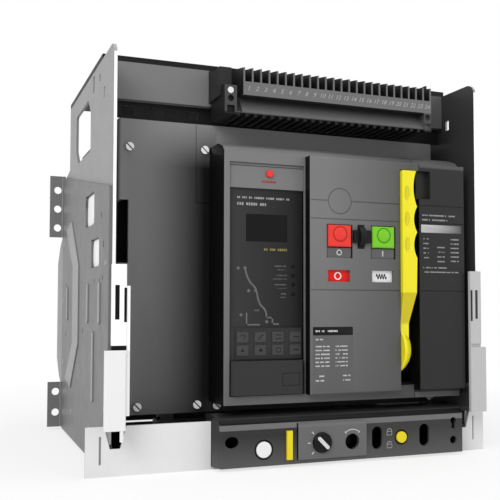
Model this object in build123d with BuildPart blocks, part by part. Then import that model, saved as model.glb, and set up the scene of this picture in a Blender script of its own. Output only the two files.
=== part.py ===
from build123d import *
import math
import os

os.makedirs("parts", exist_ok=True)

# Driving sizes, in millimetres
# Frame: origin on the ground under the middle of the cradle, +X right, +Y to the busbars, +Z up
flat_gap = 0.3
pin_gap = 0.05
sheet = 3.0
mould_wall = 3.0
body_wall = 5.0

# Cradle width, from the clear space between the side plates outwards
clear_width = 422.0
ear_width = 18.0
plate_inner = clear_width / 2
plate_outer = plate_inner + sheet
bracket_outer = plate_outer + sheet
ear_outer = bracket_outer + ear_width

# Depths, from the front of the face cover to the rear of the breaker
cover_front = -189.5
plate_lead = 15.0
pan_setback = 6.0
mech_proud = 12.0
cover_depth = 50.0
frame_depth = 84.5
base_depth = 165.0
plate_front = cover_front - plate_lead
pan_front = cover_front + pan_setback
mech_front = cover_front - mech_proud
wall_front = cover_front + cover_depth
frame_rear = wall_front + frame_depth
body_rear = frame_rear + base_depth

# Heights, from the ground to the top of the side plates
plate_height = 432.0
top_room = 61.5
body_bottom = 53.5
cover_foot = 12.0
cover_head = 35.0
mech_foot = 9.0
mech_head = 3.0
body_top = plate_height - top_room
cover_bottom = body_bottom + cover_foot
cover_top = body_top - cover_head
mech_bottom = cover_bottom + mech_foot
mech_top = cover_top - mech_head

# Widths of the breaker: its body, and the bays of its front from the right side of the cover
body_side_gap = 15.0
cover_overhang = 3.0
rating_bay = 62.2
slot_width = 25.0
button_bay = 111.8
trip_bay = 94.0
body_half_width = plate_inner - body_side_gap
cover_right = body_half_width + cover_overhang
slot_right = cover_right - rating_bay
slot_left = slot_right - slot_width
mech_left = slot_left - button_bay
cover_left = mech_left - trip_bay

# Poles, side by side across the body
pole_count = 4
end_wall = 6.0
chamber_wall = 12.0
pole_pitch = 2 * (body_half_width - end_wall) / pole_count
chamber_half = (pole_pitch - chamber_wall) / 2
pole_x = [(n - (pole_count - 1) / 2) * pole_pitch for n in range(pole_count)]

# Busbars
bar_width = 60.0
bar_thickness = 15.0
bar_length = 63.5
lower_bar_z = 112.0
bar_rise = 100.0
upper_bar_z = lower_bar_z + bar_rise
bar_levels = (lower_bar_z, upper_bar_z)
terminal_front = body_rear + 37.0
terminal_rear = terminal_front + bar_length
blade_thickness = bar_thickness - 2 * flat_gap


def box_between(x, y, z, mode=Mode.ADD):
    """A box between the two limits given along each axis."""
    with Locations(((x[0] + x[1]) / 2, (y[0] + y[1]) / 2, (z[0] + z[1]) / 2)):
        Box(x[1] - x[0], y[1] - y[0], z[1] - z[0], mode=mode)


def rod_along_x(x, y, z, radius, mode=Mode.ADD):
    """A round bar along X between the two limits x."""
    with Locations(((x[0] + x[1]) / 2, y, z)):
        Cylinder(radius, x[1] - x[0], rotation=(0, 90, 0), mode=mode)


def rod_along_y(x, y, z, radius, mode=Mode.ADD):
    """A round bar along Y between the two limits y."""
    with Locations((x, (y[0] + y[1]) / 2, z)):
        Cylinder(radius, y[1] - y[0], rotation=(90, 0, 0), mode=mode)


def rod_along_z(x, y, z, radius, mode=Mode.ADD):
    """A round bar along Z between the two limits z."""
    with Locations((x, y, (z[0] + z[1]) / 2)):
        Cylinder(radius, z[1] - z[0], mode=mode)


def span(first, second):
    """Two limits in rising order."""
    return (min(first, second), max(first, second))


def about(centre, half):
    """Two limits at the same distance each side of a centre."""
    return (centre - half, centre + half)


def save(builder, name):
    """Label a finished piece and write it as its own STEP file."""
    builder.part.label = name
    export_step(builder.part, f"parts/{name}.step")


# Side plates of the cradle: zinc sheet with a rounded front corner, a window and a bulge round the busbars
shoulder_rear = body_rear - 14.0
ear_front = body_rear + 25.0
foot_rear = body_rear + 40.0
bulge_rear = body_rear + 98.0
bulge_corner = 22.0
corner_radius = 14.0
shoulder_z = plate_height - 82.0
shoulder_slope = 6.0
bar_margin = 40.0
bulge_bottom = lower_bar_z - bar_margin
bulge_top = upper_bar_z + bar_margin
neck_z = bulge_top + 30.0
window_y = (body_rear - 177.0, body_rear - 68.0)
window_z = (plate_height - 85.0, plate_height - 23.0)
window_chamfer = 18.0
window_radius = 4.0
flange_height = 49.5
notch_y = pan_front + sheet
notch_z = flange_height + 0.5
plate_slots = [(118.5, 13.5, 8.0, 19.0), (53.5, 39.0, 7.0, 12.0), (80.5, 16.0, 6.0, 8.0)]


def side_plate(side):
    """One side plate; side is -1 for the left and 1 for the right."""
    with BuildPart() as plate:
        with BuildSketch(Plane.YZ.offset(side * plate_inner)) as outline:
            with BuildLine():
                Polyline(
                    (notch_y, 0),
                    (notch_y, notch_z),
                    (plate_front, notch_z),
                    (plate_front, plate_height),
                    (shoulder_rear, plate_height),
                    (shoulder_rear, shoulder_z),
                    (ear_front, shoulder_z - shoulder_slope),
                    (ear_front, neck_z),
                    (bulge_rear - bulge_corner, bulge_top),
                    (bulge_rear, bulge_top - bulge_corner),
                    (bulge_rear, bulge_bottom + bulge_corner),
                    (bulge_rear - bulge_corner, bulge_bottom),
                    (foot_rear, bulge_bottom - bulge_corner),
                    (foot_rear, 0),
                    close=True,
                )
            make_face()
            corners = outline.vertices().group_by(Axis.Y)[-1].sort_by(Axis.X)
            fillet(corners[0], corner_radius)
        extrude(amount=side * sheet)
        with BuildSketch(Plane.YZ.offset(side * plate_inner)) as window:
            with BuildLine():
                Polyline(
                    (window_y[0], window_z[0]),
                    (window_y[0], window_z[1] - window_chamfer),
                    (window_y[0] + window_chamfer, window_z[1]),
                    (window_y[1], window_z[1]),
                    (window_y[1], window_z[0] + window_chamfer),
                    (window_y[1] - window_chamfer, window_z[0]),
                    close=True,
                )
            make_face()
            fillet(window.vertices(), window_radius)
            for setback, drop, width, height in plate_slots:
                with Locations((plate_front + setback, plate_height - drop)):
                    Rectangle(width, height)
        extrude(amount=side * sheet, mode=Mode.SUBTRACT)
    return plate


save(side_plate(-1), "left_side_plate")
save(side_plate(1), "right_side_plate")


# Mounting brackets: outer sheets with a pressed strap, whose rear edges fold out into the drilled ears
ear_hole_radius = 5.0
ear_hole_x = ear_outer - 10.5
upper_hole_z = plate_height - 156.0
upper_hole_pitch = 26.0
lower_hole_z = 24.0
lower_hole_pitch = 28.0
upper_holes = [upper_hole_z + n * upper_hole_pitch for n in range(3)]
lower_holes = [lower_hole_z + n * lower_hole_pitch for n in range(2)]
ear_margin = 19.5
ear_end = 13.0
bracket_front = plate_front + 4.5
bracket_foot = 5.0
bracket_head = 17.0
rail_floor = 48.5
bracket_notch_z = rail_floor + 4.0
bracket_top_front = upper_holes[0] + ear_end - 1.0
bracket_top_rear = upper_holes[-1] + bracket_head
ear_rear = ear_front + sheet
upper_ear_z = (upper_holes[0] - ear_end, upper_holes[-1] + ear_margin)
lower_ear_z = (lower_holes[0] - ear_margin, lower_holes[-1] + ear_end)
grip_holes = [(118.5, 0.0, 57.0, 36.0), (82.5, -50.0, 49.0, 31.0)]
grip_rear_radius = 14.0
grip_front_radius = 5.0
pressing_rise = 1.5
ridge_width = 8.0
ridge_z = (upper_holes[0] - 126.0, upper_holes[0] - 82.0)
ridge_y = [plate_front + setback for setback in (285.5, 124.5, 51.5)]
low_ridge_y = plate_front + 88.0
low_ridge_z = (lower_holes[-1] + 14.0, lower_holes[-1] + 90.0)
strap_y = about(ear_front - 127.0, 22.0)
strap_z = (lower_holes[-1] + 72.0, upper_holes[0] - 58.0)
strap_reach = 60.0
strap_arm_z = (lower_holes[-1] + 14.0, upper_holes[0])


def mounting_bracket(side):
    """One bracket sheet with its two ears, five fixing holes, pressed ridges and strap."""
    with BuildPart() as bracket:
        with BuildSketch(Plane.YZ.offset(side * plate_outer)):
            with BuildLine():
                Polyline(
                    (notch_y, bracket_foot),
                    (notch_y, bracket_notch_z),
                    (bracket_front, bracket_notch_z),
                    (bracket_front, bracket_top_front),
                    (ear_front, bracket_top_rear),
                    (ear_front, bracket_foot),
                    close=True,
                )
            make_face()
        extrude(amount=side * sheet)
        with BuildSketch(Plane.YZ.offset(side * bracket_outer)):
            with BuildLine():
                Polyline(
                    (strap_y[0], strap_z[0]),
                    (strap_y[0], strap_z[1]),
                    (strap_y[0] + strap_reach, strap_arm_z[1]),
                    (strap_y[1] + strap_reach, strap_arm_z[1] - ridge_width),
                    (strap_y[1], strap_z[1]),
                    (strap_y[1], strap_z[0]),
                    (strap_y[1] + strap_reach, strap_arm_z[0] + ridge_width),
                    (strap_y[0] + strap_reach, strap_arm_z[0]),
                    close=True,
                )
            make_face()
            for y in ridge_y:
                with Locations((y, (ridge_z[0] + ridge_z[1]) / 2)):
                    SlotOverall(ridge_z[1] - ridge_z[0], ridge_width, rotation=90)
            with Locations((low_ridge_y, (low_ridge_z[0] + low_ridge_z[1]) / 2)):
                SlotOverall(low_ridge_z[1] - low_ridge_z[0], ridge_width, rotation=90)
        extrude(amount=side * pressing_rise)
        for setback, rise, width, height in grip_holes:
            with BuildSketch(Plane.YZ.offset(side * plate_outer)) as grip:
                with Locations((plate_front + setback, upper_holes[0] + rise)):
                    Rectangle(width, height)
                corners = grip.vertices().sort_by(Axis.X)
                fillet(corners[:2], grip_front_radius)
                fillet(corners[2:], grip_rear_radius)
            extrude(amount=side * sheet, mode=Mode.SUBTRACT)
        for low, high in (upper_ear_z, lower_ear_z):
            box_between(span(side * plate_outer, side * ear_outer), (ear_front, ear_rear), (low, high))
        with BuildSketch(Plane.XZ.offset(-ear_front)):
            with Locations(*[(side * ear_hole_x, z) for z in upper_holes + lower_holes]):
                Circle(ear_hole_radius)
        extrude(amount=-sheet, mode=Mode.SUBTRACT)
    return bracket


save(mounting_bracket(-1), "left_mounting_bracket")
save(mounting_bracket(1), "right_mounting_bracket")


# Base pan: folded sheet with a tall front flange, cut away for the racking housing and the rails
rail_width = 10.5
rail_outer = plate_inner - flat_gap
rail_inner = rail_outer - rail_width
housing_left = cover_left - 6.5
housing_right = cover_right - 6.5
housing_top = body_bottom - 0.5
housing_cut_gap = 2.0
notch_floor = 27.0
notch_lean = 6.0
pan_slot = (2.5, 28.0)
pan_slot_inset = 14.5
pan_slot_z = 26.0
side_flange = 30.0
pan_screw_pitch = (300.0, 200.0)
pan_hole_radius = 5.5

with BuildPart() as base_pan:
    box_between((-plate_inner, plate_inner), (pan_front, foot_rear), (0, sheet))
    box_between((-ear_outer, ear_outer), (pan_front, pan_front + sheet), (0, flange_height))
    for side in (-1, 1):
        flange = span(side * plate_inner, side * (plate_inner - sheet))
        box_between(flange, (pan_front + sheet, foot_rear), (0, side_flange))
    with BuildSketch(Plane.XZ.offset(-pan_front)):
        for side in (-1, 1):
            with BuildLine():
                Polyline(
                    (side * (rail_inner - notch_lean), flange_height),
                    (side * (rail_outer + notch_lean), flange_height),
                    (side * rail_outer, notch_floor),
                    (side * rail_inner, notch_floor),
                    close=True,
                )
            make_face()
            with Locations((side * (ear_outer - pan_slot_inset), pan_slot_z)):
                Rectangle(*pan_slot)
        with Locations(((housing_left + housing_right) / 2, sheet + flange_height / 2)):
            Rectangle(housing_right - housing_left + 2 * housing_cut_gap, flange_height)
    extrude(amount=-sheet, mode=Mode.SUBTRACT)
    with Locations((0, 0, sheet)):
        with GridLocations(*pan_screw_pitch, 2, 2):
            Hole(pan_hole_radius)
save(base_pan, "base_pan")


# Rear wall: moulded insulating panel with a close window round every busbar and ribs between the poles
rear_wall_front = body_rear + 55.0
rear_wall_thickness = 15.0
rear_rib = (6.0, 10.0)
rear_wall_y = (rear_wall_front, rear_wall_front + rear_wall_thickness)
rear_wall_z = (bulge_bottom, bulge_top)

with BuildPart() as rear_wall:
    box_between((-plate_inner, plate_inner), rear_wall_y, rear_wall_z)
    for x in pole_x[:-1]:
        rib_x = about(x + pole_pitch / 2, rear_rib[0] / 2)
        box_between(rib_x, (rear_wall_y[1], rear_wall_y[1] + rear_rib[1]), rear_wall_z)
    for x in pole_x:
        for z in bar_levels:
            window = (about(x, bar_width / 2), rear_wall_y, about(z, bar_thickness / 2))
            box_between(*window, mode=Mode.SUBTRACT)
save(rear_wall, "rear_insulating_wall")


# Busbar terminals and the spring jaws that grip the breaker's blades
busbar_hole_radius = 5.5
busbar_hole_pitch = 30.0
busbar_hole_inset = 13.5
busbar_corner = 3.0
jaw_width = 50.0
jaw_thickness = 6.0
jaw_front = body_rear + 12.0
jaw_rear = terminal_front + 14.0
jaw_fingers = 4
jaw_slit = 1.0
jaw_lead = 2.0

with BuildPart() as busbar_terminals:
    for z in bar_levels:
        for x in pole_x:
            bar_z = about(z, bar_thickness / 2)
            box_between(about(x, bar_width / 2), (terminal_front, terminal_rear), bar_z)
    ends = busbar_terminals.faces().filter_by(Axis.Y).group_by(Axis.Y)[-1]
    fillet(ends.edges().filter_by(Axis.Z), busbar_corner)
    with BuildSketch(Plane.XY.offset(lower_bar_z - bar_thickness / 2)):
        for x in pole_x:
            with Locations((x, terminal_rear - busbar_hole_inset)):
                with GridLocations(busbar_hole_pitch, 0, 2, 1):
                    Circle(busbar_hole_radius)
    extrude(amount=bar_rise + bar_thickness, mode=Mode.SUBTRACT)
save(busbar_terminals, "busbar_terminals")

finger_pitch = jaw_width / jaw_fingers
finger_starts = [(n - jaw_fingers / 2) * finger_pitch + jaw_slit / 2 for n in range(jaw_fingers)]
with BuildPart() as jaw_contacts:
    for x in pole_x:
        for start in finger_starts:
            with BuildSketch(Plane.YZ.offset(x + start)):
                for z in bar_levels:
                    for side in (-1, 1):
                        inner = z + side * bar_thickness / 2
                        outer = inner + side * jaw_thickness
                        with BuildLine():
                            Polyline(
                                (jaw_front, inner + side * jaw_lead),
                                (jaw_front + 3 * jaw_lead, inner),
                                (jaw_rear, inner),
                                (jaw_rear, outer),
                                (jaw_front + jaw_lead, outer),
                                (jaw_front, outer - side * jaw_lead),
                                close=True,
                            )
                        make_face()
            extrude(amount=finger_pitch - jaw_slit)
save(jaw_contacts, "jaw_contacts")


# Arc shield and front panel over the top of the cradle
shield_thickness = 6.0
panel_sheet = 2.0
panel_step = 8.0
panel_z = (plate_height - 40.5, plate_height)
comb_bottom = plate_height - 60.2
vent_first = 27.0
vent_pitch = 24.0
vent_width = 14.0
vent_margin = 5.0
vent_x = [vent_first - plate_inner + vent_pitch * n for n in range(4)]

with BuildPart() as arc_shield:
    shield_z = (plate_height, plate_height + shield_thickness)
    box_between((-plate_outer, plate_outer), (wall_front, shoulder_rear), shield_z)
save(arc_shield, "arc_shield")

with BuildPart() as top_panel:
    across = (-plate_inner, plate_inner)
    box_between(across, (wall_front, wall_front + panel_sheet), panel_z)
    step_rear = wall_front + panel_step + panel_sheet
    box_between(across, (wall_front, step_rear), (panel_z[0], panel_z[0] + panel_sheet))
    box_between(across, (step_rear - panel_sheet, step_rear), (comb_bottom + 1, panel_z[0]))
    for x in vent_x:
        vent_z = (comb_bottom + vent_margin, panel_z[0] - vent_margin)
        vent = (about(x, vent_width / 2), (step_rear - panel_sheet, step_rear), vent_z)
        box_between(*vent, mode=Mode.SUBTRACT)
save(top_panel, "top_front_panel")


# Secondary terminal block: a moulded body with wedge, comb and cheeks, and thin fins between the cells
block_left = cover_left + 0.6
left_cheek = 13.6
right_cheek = 9.8
row_inset = 21.0
cell_pitch = 9.7
cell_count = 24
fin_width = 1.8
fin_depth = 36.0
tooth_height = 3.5
wedge_setback = 13.0
row_left = block_left + row_inset
row_right = row_left + cell_count * cell_pitch + fin_width
wedge_left = block_left + left_cheek
wedge_right = row_right - right_cheek
block_rear = wall_front - sheet
strip_z = (plate_height - 37.0, plate_height - 22.5)
fin_front_z = plate_height - 7.5
fin_rear_z = plate_height - 1.0
wedge_bottom = comb_bottom + tooth_height
cheek_bottom = comb_bottom + 1.4
cheek_top = strip_z[0] + 9.1
cheek_screw_z = cheek_top - 5.3
cheek_screw_radius = 3.4
cheek_socket_radius = 4.0
cheek_hole_z = cheek_top - 14.1
cheek_window = (8.6, 7.8)
cheek_window_z = cheek_bottom + 5.4
cheek_recess = 3.0
cheek_screw_x = (block_left + wedge_left) / 2

with BuildPart() as terminal_block:
    with BuildSketch(Plane.YZ.offset(wedge_left)):
        with BuildLine():
            Polyline(
                (cover_front, wedge_bottom),
                (cover_front + wedge_setback, strip_z[0]),
                (block_rear, strip_z[0]),
                (block_rear, wedge_bottom),
                close=True,
            )
        make_face()
    extrude(amount=wedge_right - wedge_left)
    for n in range(cell_count):
        tooth_left = wedge_left + n * cell_pitch
        tooth_x = (tooth_left, tooth_left + 2 * fin_width)
        box_between(tooth_x, (cover_front, block_rear), (comb_bottom, wedge_bottom))
    with BuildSketch(Plane.YZ.offset(row_left)):
        with BuildLine():
            Polyline(
                (cover_front, strip_z[0]),
                (cover_front, strip_z[1]),
                (cover_front + fin_depth, strip_z[1]),
                (cover_front + fin_depth, fin_rear_z),
                (block_rear, fin_rear_z),
                (block_rear, strip_z[0]),
                close=True,
            )
        make_face()
    extrude(amount=row_right - row_left)
    box_between((block_left, wedge_left), (cover_front, block_rear), (cheek_bottom, cheek_top))
    box_between((wedge_right, row_right), (cover_front, block_rear), (cheek_bottom, strip_z[0]))
    for x in (cheek_screw_x, (wedge_right + row_right) / 2):
        with BuildSketch(Plane.XZ.offset(-cover_front)):
            with Locations((x, cheek_hole_z)):
                Circle(cheek_screw_radius)
            with Locations((x, cheek_window_z)):
                Rectangle(*cheek_window)
        extrude(amount=-cheek_recess, mode=Mode.SUBTRACT)
    socket_y = (cover_front, cover_front + cheek_recess)
    rod_along_y(cheek_screw_x, socket_y, cheek_screw_z, cheek_socket_radius, mode=Mode.SUBTRACT)

fins = []
for n in range(cell_count + 1):
    with BuildPart() as fin:
        with BuildSketch(Plane.YZ.offset(row_left + n * cell_pitch)):
            with BuildLine():
                Polyline(
                    (cover_front, strip_z[1]),
                    (cover_front, fin_front_z),
                    (cover_front + fin_depth, fin_rear_z),
                    (cover_front + fin_depth, strip_z[1]),
                    close=True,
                )
            make_face()
        extrude(amount=fin_width)
    fins.append(fin.part)
terminal_block.part = Compound(children=[terminal_block.part] + fins)
save(terminal_block, "secondary_terminal_block")

# Terminal screws on the floor of the cells, and the one that holds the left cheek
cell_screw_radius = 2.6
cell_screw_height = 2.5
cell_screw_y = cover_front + 17.0
with BuildPart() as block_screws:
    screw_y = (cover_front + 0.6, cover_front + cheek_recess)
    rod_along_y(cheek_screw_x, screw_y, cheek_screw_z, cheek_screw_radius)
    for n in range(cell_count):
        x = row_left + fin_width / 2 + (n + 0.5) * cell_pitch
        rod_along_z(x, cell_screw_y, (strip_z[1], strip_z[1] + cell_screw_height), cell_screw_radius)
save(block_screws, "terminal_screws")

# Bracket of the block: folded sheet behind and beside it, with a tab over the left cheek
tab_sheet = 2.0
tab_setback = 12.0
tab_left_z = (cheek_top + 2.7, cheek_top + 22.4)
with BuildPart() as block_bracket:
    bracket_x = (block_left - tab_sheet, row_right + tab_sheet)
    bracket_z = (strip_z[0], fin_rear_z)
    box_between(bracket_x, (block_rear, wall_front), bracket_z)
    wing_y = (cover_front + tab_setback, block_rear)
    box_between((block_left - tab_sheet, block_left), wing_y, (strip_z[0], tab_left_z[1]))
    box_between((row_right, row_right + tab_sheet), wing_y, bracket_z)
    box_between((block_left, wedge_left - tab_sheet), (wing_y[0], wing_y[0] + tab_sheet), tab_left_z)
save(block_bracket, "terminal_block_bracket")


# Pull-out rails: channels inside the side plates with a white cast end that fronts the plate edge
rail_wall = 3.0
rail_front = plate_front - flat_gap
rail_rear = body_rear + 10.0
rail_top = rail_floor + 31.5
rail_end_front = plate_front - 5.0
rail_end_outer = bracket_outer + 4.4
rail_block_top = rail_floor + 74.0
neck_height = 4.0
neck_setback = 2.0
tongue_outer = plate_outer + 1.0
tongue_top = rail_floor + 161.5
tongue_slot = (3.2, 36.0)
tongue_slot_z = rail_floor + 109.5
tongue_slot_pitch = 8.0
strip_inner = rail_inner - 3.6
strip_height = (14.0, 140.5)
end_fillet = 1.5
lock_pin_radius = 1.95
lock_pin_drop = 10.8
lock_pin_gap = 1.7


def pull_rail(side):
    """A C-shaped steel channel, open towards the breaker."""
    with BuildPart() as rail:
        outer = span(side * rail_outer, side * (rail_outer - rail_wall))
        across = span(side * rail_inner, side * rail_outer)
        box_between(outer, (rail_front, rail_rear), (rail_floor, rail_top))
        box_between(across, (rail_front, rail_rear), (rail_floor, rail_floor + rail_wall))
        box_between(across, (rail_front, rail_rear), (rail_top - rail_wall, rail_top))
    return rail


def rail_end(side):
    """The cast end: a block, a neck set back and a slotted tongue; the left one has a strip and a pin."""
    with BuildPart() as end:
        across = span(side * rail_inner, side * rail_end_outer)
        box_between(across, (rail_end_front, rail_front), (rail_floor, rail_block_top))
        tongue = span(side * rail_inner, side * tongue_outer)
        tongue_z = (rail_block_top + neck_height, tongue_top)
        box_between(tongue, (rail_end_front, rail_front), tongue_z)
        front_edges = end.edges().filter_by(Axis.Z).group_by(Axis.Y)[0]
        fillet(front_edges, end_fillet)
        neck_y = (rail_end_front + neck_setback, rail_front)
        box_between(tongue, neck_y, (rail_block_top, rail_block_top + neck_height))
        middle = side * (rail_inner + tongue_outer) / 2
        with BuildSketch(Plane.XZ.offset(-rail_front)):
            with Locations((middle, tongue_slot_z)):
                with GridLocations(tongue_slot_pitch, 0, 2, 1):
                    Rectangle(*tongue_slot)
        extrude(amount=rail_front - rail_end_front, mode=Mode.SUBTRACT)
        if side < 0:
            strip_z_limits = (rail_floor + strip_height[0], rail_floor + strip_height[1])
            box_between((-rail_inner, -strip_inner), neck_y, strip_z_limits)
            pin_x = -(rail_inner + lock_pin_radius + lock_pin_gap)
            pin_y = (rail_end_front + rail_front) / 2
            rod_along_z(pin_x, pin_y, (rail_floor - lock_pin_drop, rail_floor), lock_pin_radius)
    return end


for side, name in ((-1, "left"), (1, "right")):
    save(pull_rail(side), f"{name}_pull_rail")
    save(rail_end(side), f"{name}_rail_end")

# Rail guides: folded angles on the side plates that the rails slide on
guide_inner = rail_inner + 3.8
guide_top = rail_floor - flat_gap
guide_setback = 5.0
guide_y = (notch_y + guide_setback, rail_rear)
with BuildPart() as rail_guides:
    for side in (-1, 1):
        across = span(side * guide_inner, side * plate_inner)
        box_between(across, guide_y, (guide_top - sheet, guide_top))
        upright = span(side * (plate_inner - sheet), side * plate_inner)
        box_between(upright, guide_y, (side_flange, guide_top))
save(rail_guides, "rail_guides")


# Racking housing: the dark panel under the breaker with the crank hole, dial, buttons and locks
housing_front = mech_front
housing_rear = wall_front - 10.5
housing_wall = 3.0
housing_mid_z = 24.0
housing_chamfer = 4.0
draft = 5.0
crank_x = mech_left + 49.5
crank_z = 23.0
crank_hole_radius = 8.5
dial_x = mech_left + 13.0
dial_radius = 10.7
release_x = mech_left - 53.3
release_z = 20.0
release_radius = 8.4
reset_lock_x = mech_left + 111.5
reset_lock_radius = 6.3
button_ring = 1.3
tab_x = mech_left - 24.8
tab_width = 6.2
tab_height = 30.2
tab_z = about(housing_mid_z - 0.7, tab_height / 2)
oval_place = (mech_left - 88.6, 29.3)
oval_radii = (7.5, 6.0)
lock_slot_x = (mech_left + 81.0, mech_left + 141.5)
lock_slot = (24.8, 13.0)
lock_slot_z = 24.8
key_x = mech_left + 180.4
key_head_z = 39.0
key_head_radius = 3.8
key_neck = (4.6, 9.0)
key_hole_z = 17.0
key_hole_radius = 4.5
raised_x = (dial_x - 27.4, crank_x + 17.5)
raised_z = (sheet + 4.0, housing_top - 8.0)
raised_step = 1.5

with BuildPart() as racking_housing:
    with BuildSketch(Plane.XY.offset(sheet)):
        with BuildLine():
            Polyline(
                (housing_left, housing_front),
                (housing_right, housing_front),
                (housing_right, housing_rear),
                (housing_left, housing_rear),
                (housing_left, pan_front - flat_gap),
                (housing_left - draft, pan_front - flat_gap),
                close=True,
            )
        make_face()
    extrude(amount=housing_top - sheet)
    top_edges = racking_housing.edges().filter_by(Axis.X).group_by(Axis.Z)[-1]
    chamfer(top_edges.sort_by(Axis.Y)[0], housing_chamfer)
    inner_x = (housing_left + housing_wall, housing_right - housing_wall)
    inner_z = (sheet + housing_wall, housing_top - housing_wall)
    box_between(inner_x, (housing_front + housing_wall, housing_rear), inner_z, mode=Mode.SUBTRACT)
    box_between(raised_x, (housing_front - raised_step, housing_front), raised_z)
    raised_front = housing_front - raised_step
    with BuildSketch(Plane.XZ.offset(-raised_front)):
        with Locations((crank_x, crank_z)):
            Circle(crank_hole_radius)
        with Locations((dial_x, housing_mid_z)):
            Circle(dial_radius + flat_gap)
        with Locations((release_x, release_z)):
            Circle(release_radius + button_ring)
        with Locations((reset_lock_x, housing_mid_z)):
            Circle(reset_lock_radius + button_ring)
        with Locations((tab_x, (tab_z[0] + tab_z[1]) / 2)):
            Rectangle(tab_width + 2 * flat_gap, tab_height + 2 * flat_gap)
        with Locations(oval_place):
            Ellipse(*oval_radii)
        for x in lock_slot_x:
            with Locations((x, lock_slot_z)):
                SlotOverall(*lock_slot, rotation=90)
        with Locations((key_x, key_hole_z)):
            Circle(key_hole_radius)
        with Locations((key_x, key_head_z)):
            Circle(key_head_radius)
        with Locations((key_x, key_head_z - key_neck[1] / 2)):
            Rectangle(*key_neck)
    extrude(amount=-(raised_step + housing_wall), mode=Mode.SUBTRACT)
save(racking_housing, "racking_housing")

# Position dial with its pointer bar, and the spindle behind it
dial_proud = 3.5
dial_sunk = 2.0
dial_spindle_radius = 4.0
pointer_width = 4.0
pointer_proud = 1.2
pointer_angle = 135.0
dial_front = raised_front - dial_proud
dial_edge = 1.0
pointer_inset = 2.0
with BuildPart() as dial:
    rod_along_y(dial_x, (dial_front, housing_front + dial_sunk), housing_mid_z, dial_radius)
    chamfer(dial.edges().filter_by(GeomType.CIRCLE).group_by(Axis.Y)[0], dial_edge)
    spindle_y = (housing_front + dial_sunk, housing_rear + 2 * sheet)
    rod_along_y(dial_x, spindle_y, housing_mid_z, dial_spindle_radius)
    with BuildSketch(Plane.XZ.offset(-dial_front)):
        with Locations((dial_x, housing_mid_z)):
            SlotOverall(2 * (dial_radius - pointer_inset), pointer_width, rotation=pointer_angle)
    extrude(amount=pointer_proud)
save(dial, "position_dial")

# Release and reset buttons, stepped to a collar that guides them behind the panel
button_depth = 16.0
release_proud = 1.0
reset_lock_proud = 2.0
button_edge = 0.8


def round_button(x, z, radius, proud):
    """A round push button with a softened front edge."""
    with BuildPart() as push:
        rod_along_y(x, (housing_front - proud, housing_front + button_depth), z, radius)
        fillet(push.edges().filter_by(GeomType.CIRCLE).group_by(Axis.Y)[0], button_edge)
    return push


save(round_button(release_x, release_z, release_radius, release_proud), "racking_release_button")
save(round_button(reset_lock_x, housing_mid_z, reset_lock_radius, reset_lock_proud), "racking_reset_button")

# Padlock tab: a flat blade with a shackle hole that shows when it is pulled
tab_proud = 3.0
tab_depth = 30.0
shackle_hole_y = housing_front + 15.0
shackle_radius = 3.5
with BuildPart() as lock_tab:
    tab_limits = about(tab_x, tab_width / 2)
    box_between(tab_limits, (housing_front - tab_proud, housing_front + tab_depth), tab_z)
    rod_along_x(tab_limits, shackle_hole_y, (tab_z[0] + tab_z[1]) / 2, shackle_radius, mode=Mode.SUBTRACT)
save(lock_tab, "padlock_tab")

# Guide plate: steel plate behind the housing that carries the dial, the screw and the button sockets
screw_radius = 6.0
thread_radius = 7.5
socket_wall = 3.0
socket_grip = 6.0
socket_floor = 2.0
socket_bore = 3.0
plate_drop = 1.0
plate_y = (housing_rear, housing_rear + sheet)
with BuildPart() as guide_plate:
    box_between((housing_left, housing_right), plate_y, (sheet, housing_top - plate_drop))
    rod_along_y(dial_x, plate_y, housing_mid_z, dial_spindle_radius + pin_gap, mode=Mode.SUBTRACT)
    rod_along_y(crank_x, plate_y, crank_z, screw_radius + pin_gap, mode=Mode.SUBTRACT)
    socket_front = housing_front + button_depth - socket_grip
    sockets = ((release_x, release_z, release_radius), (reset_lock_x, housing_mid_z, reset_lock_radius))
    for x, z, radius in sockets:
        rod_along_y(x, (socket_front, plate_y[0]), z, radius + socket_wall)
        rod_along_y(x, (socket_front, plate_y[0] - socket_floor), z, radius + flat_gap, mode=Mode.SUBTRACT)
        rod_along_y(x, (plate_y[0] - socket_floor, plate_y[1]), z, socket_bore, mode=Mode.SUBTRACT)
save(guide_plate, "racking_guide_plate")

# Racking screw, its rear bearing and the carriage it drives
screw_front = mech_front + 11.5
screw_square = 10.0
square_length = 14.0
screw_rear = body_rear - 10.0
bearing_length = 12.0
bearing_radius = 14.0
bearing_foot = 22.0
carriage_y = (frame_rear - 5.0, frame_rear + 15.0)
carriage_top = crank_z + 13.0
hook_x = 120.0
hook_half = 8.0
hook_rise = 10.0
carriage_overhang = 12.0

thread_run_in = 4.0
thread_run_out = 2.0
with BuildPart() as racking_screw:
    rod_along_y(crank_x, (screw_front + square_length, screw_rear), crank_z, screw_radius)
    thread_y = (plate_y[1] + thread_run_in, screw_rear - bearing_length - thread_run_out)
    rod_along_y(crank_x, thread_y, crank_z, thread_radius)
    square_y = (screw_front, screw_front + square_length)
    box_between(about(crank_x, screw_square / 2), square_y, about(crank_z, screw_square / 2))
save(racking_screw, "racking_screw")

with BuildPart() as screw_bearing:
    with BuildSketch(Plane.XZ.offset(bearing_length - screw_rear)):
        with BuildLine():
            Polyline(
                (crank_x - bearing_foot, sheet),
                (crank_x - bearing_radius, crank_z),
                (crank_x + bearing_radius, crank_z),
                (crank_x + bearing_foot, sheet),
                close=True,
            )
        make_face()
        with Locations((crank_x, crank_z)):
            Circle(bearing_radius)
            Circle(screw_radius + pin_gap, mode=Mode.SUBTRACT)
    extrude(amount=-bearing_length)
save(screw_bearing, "racking_screw_bearing")

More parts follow.
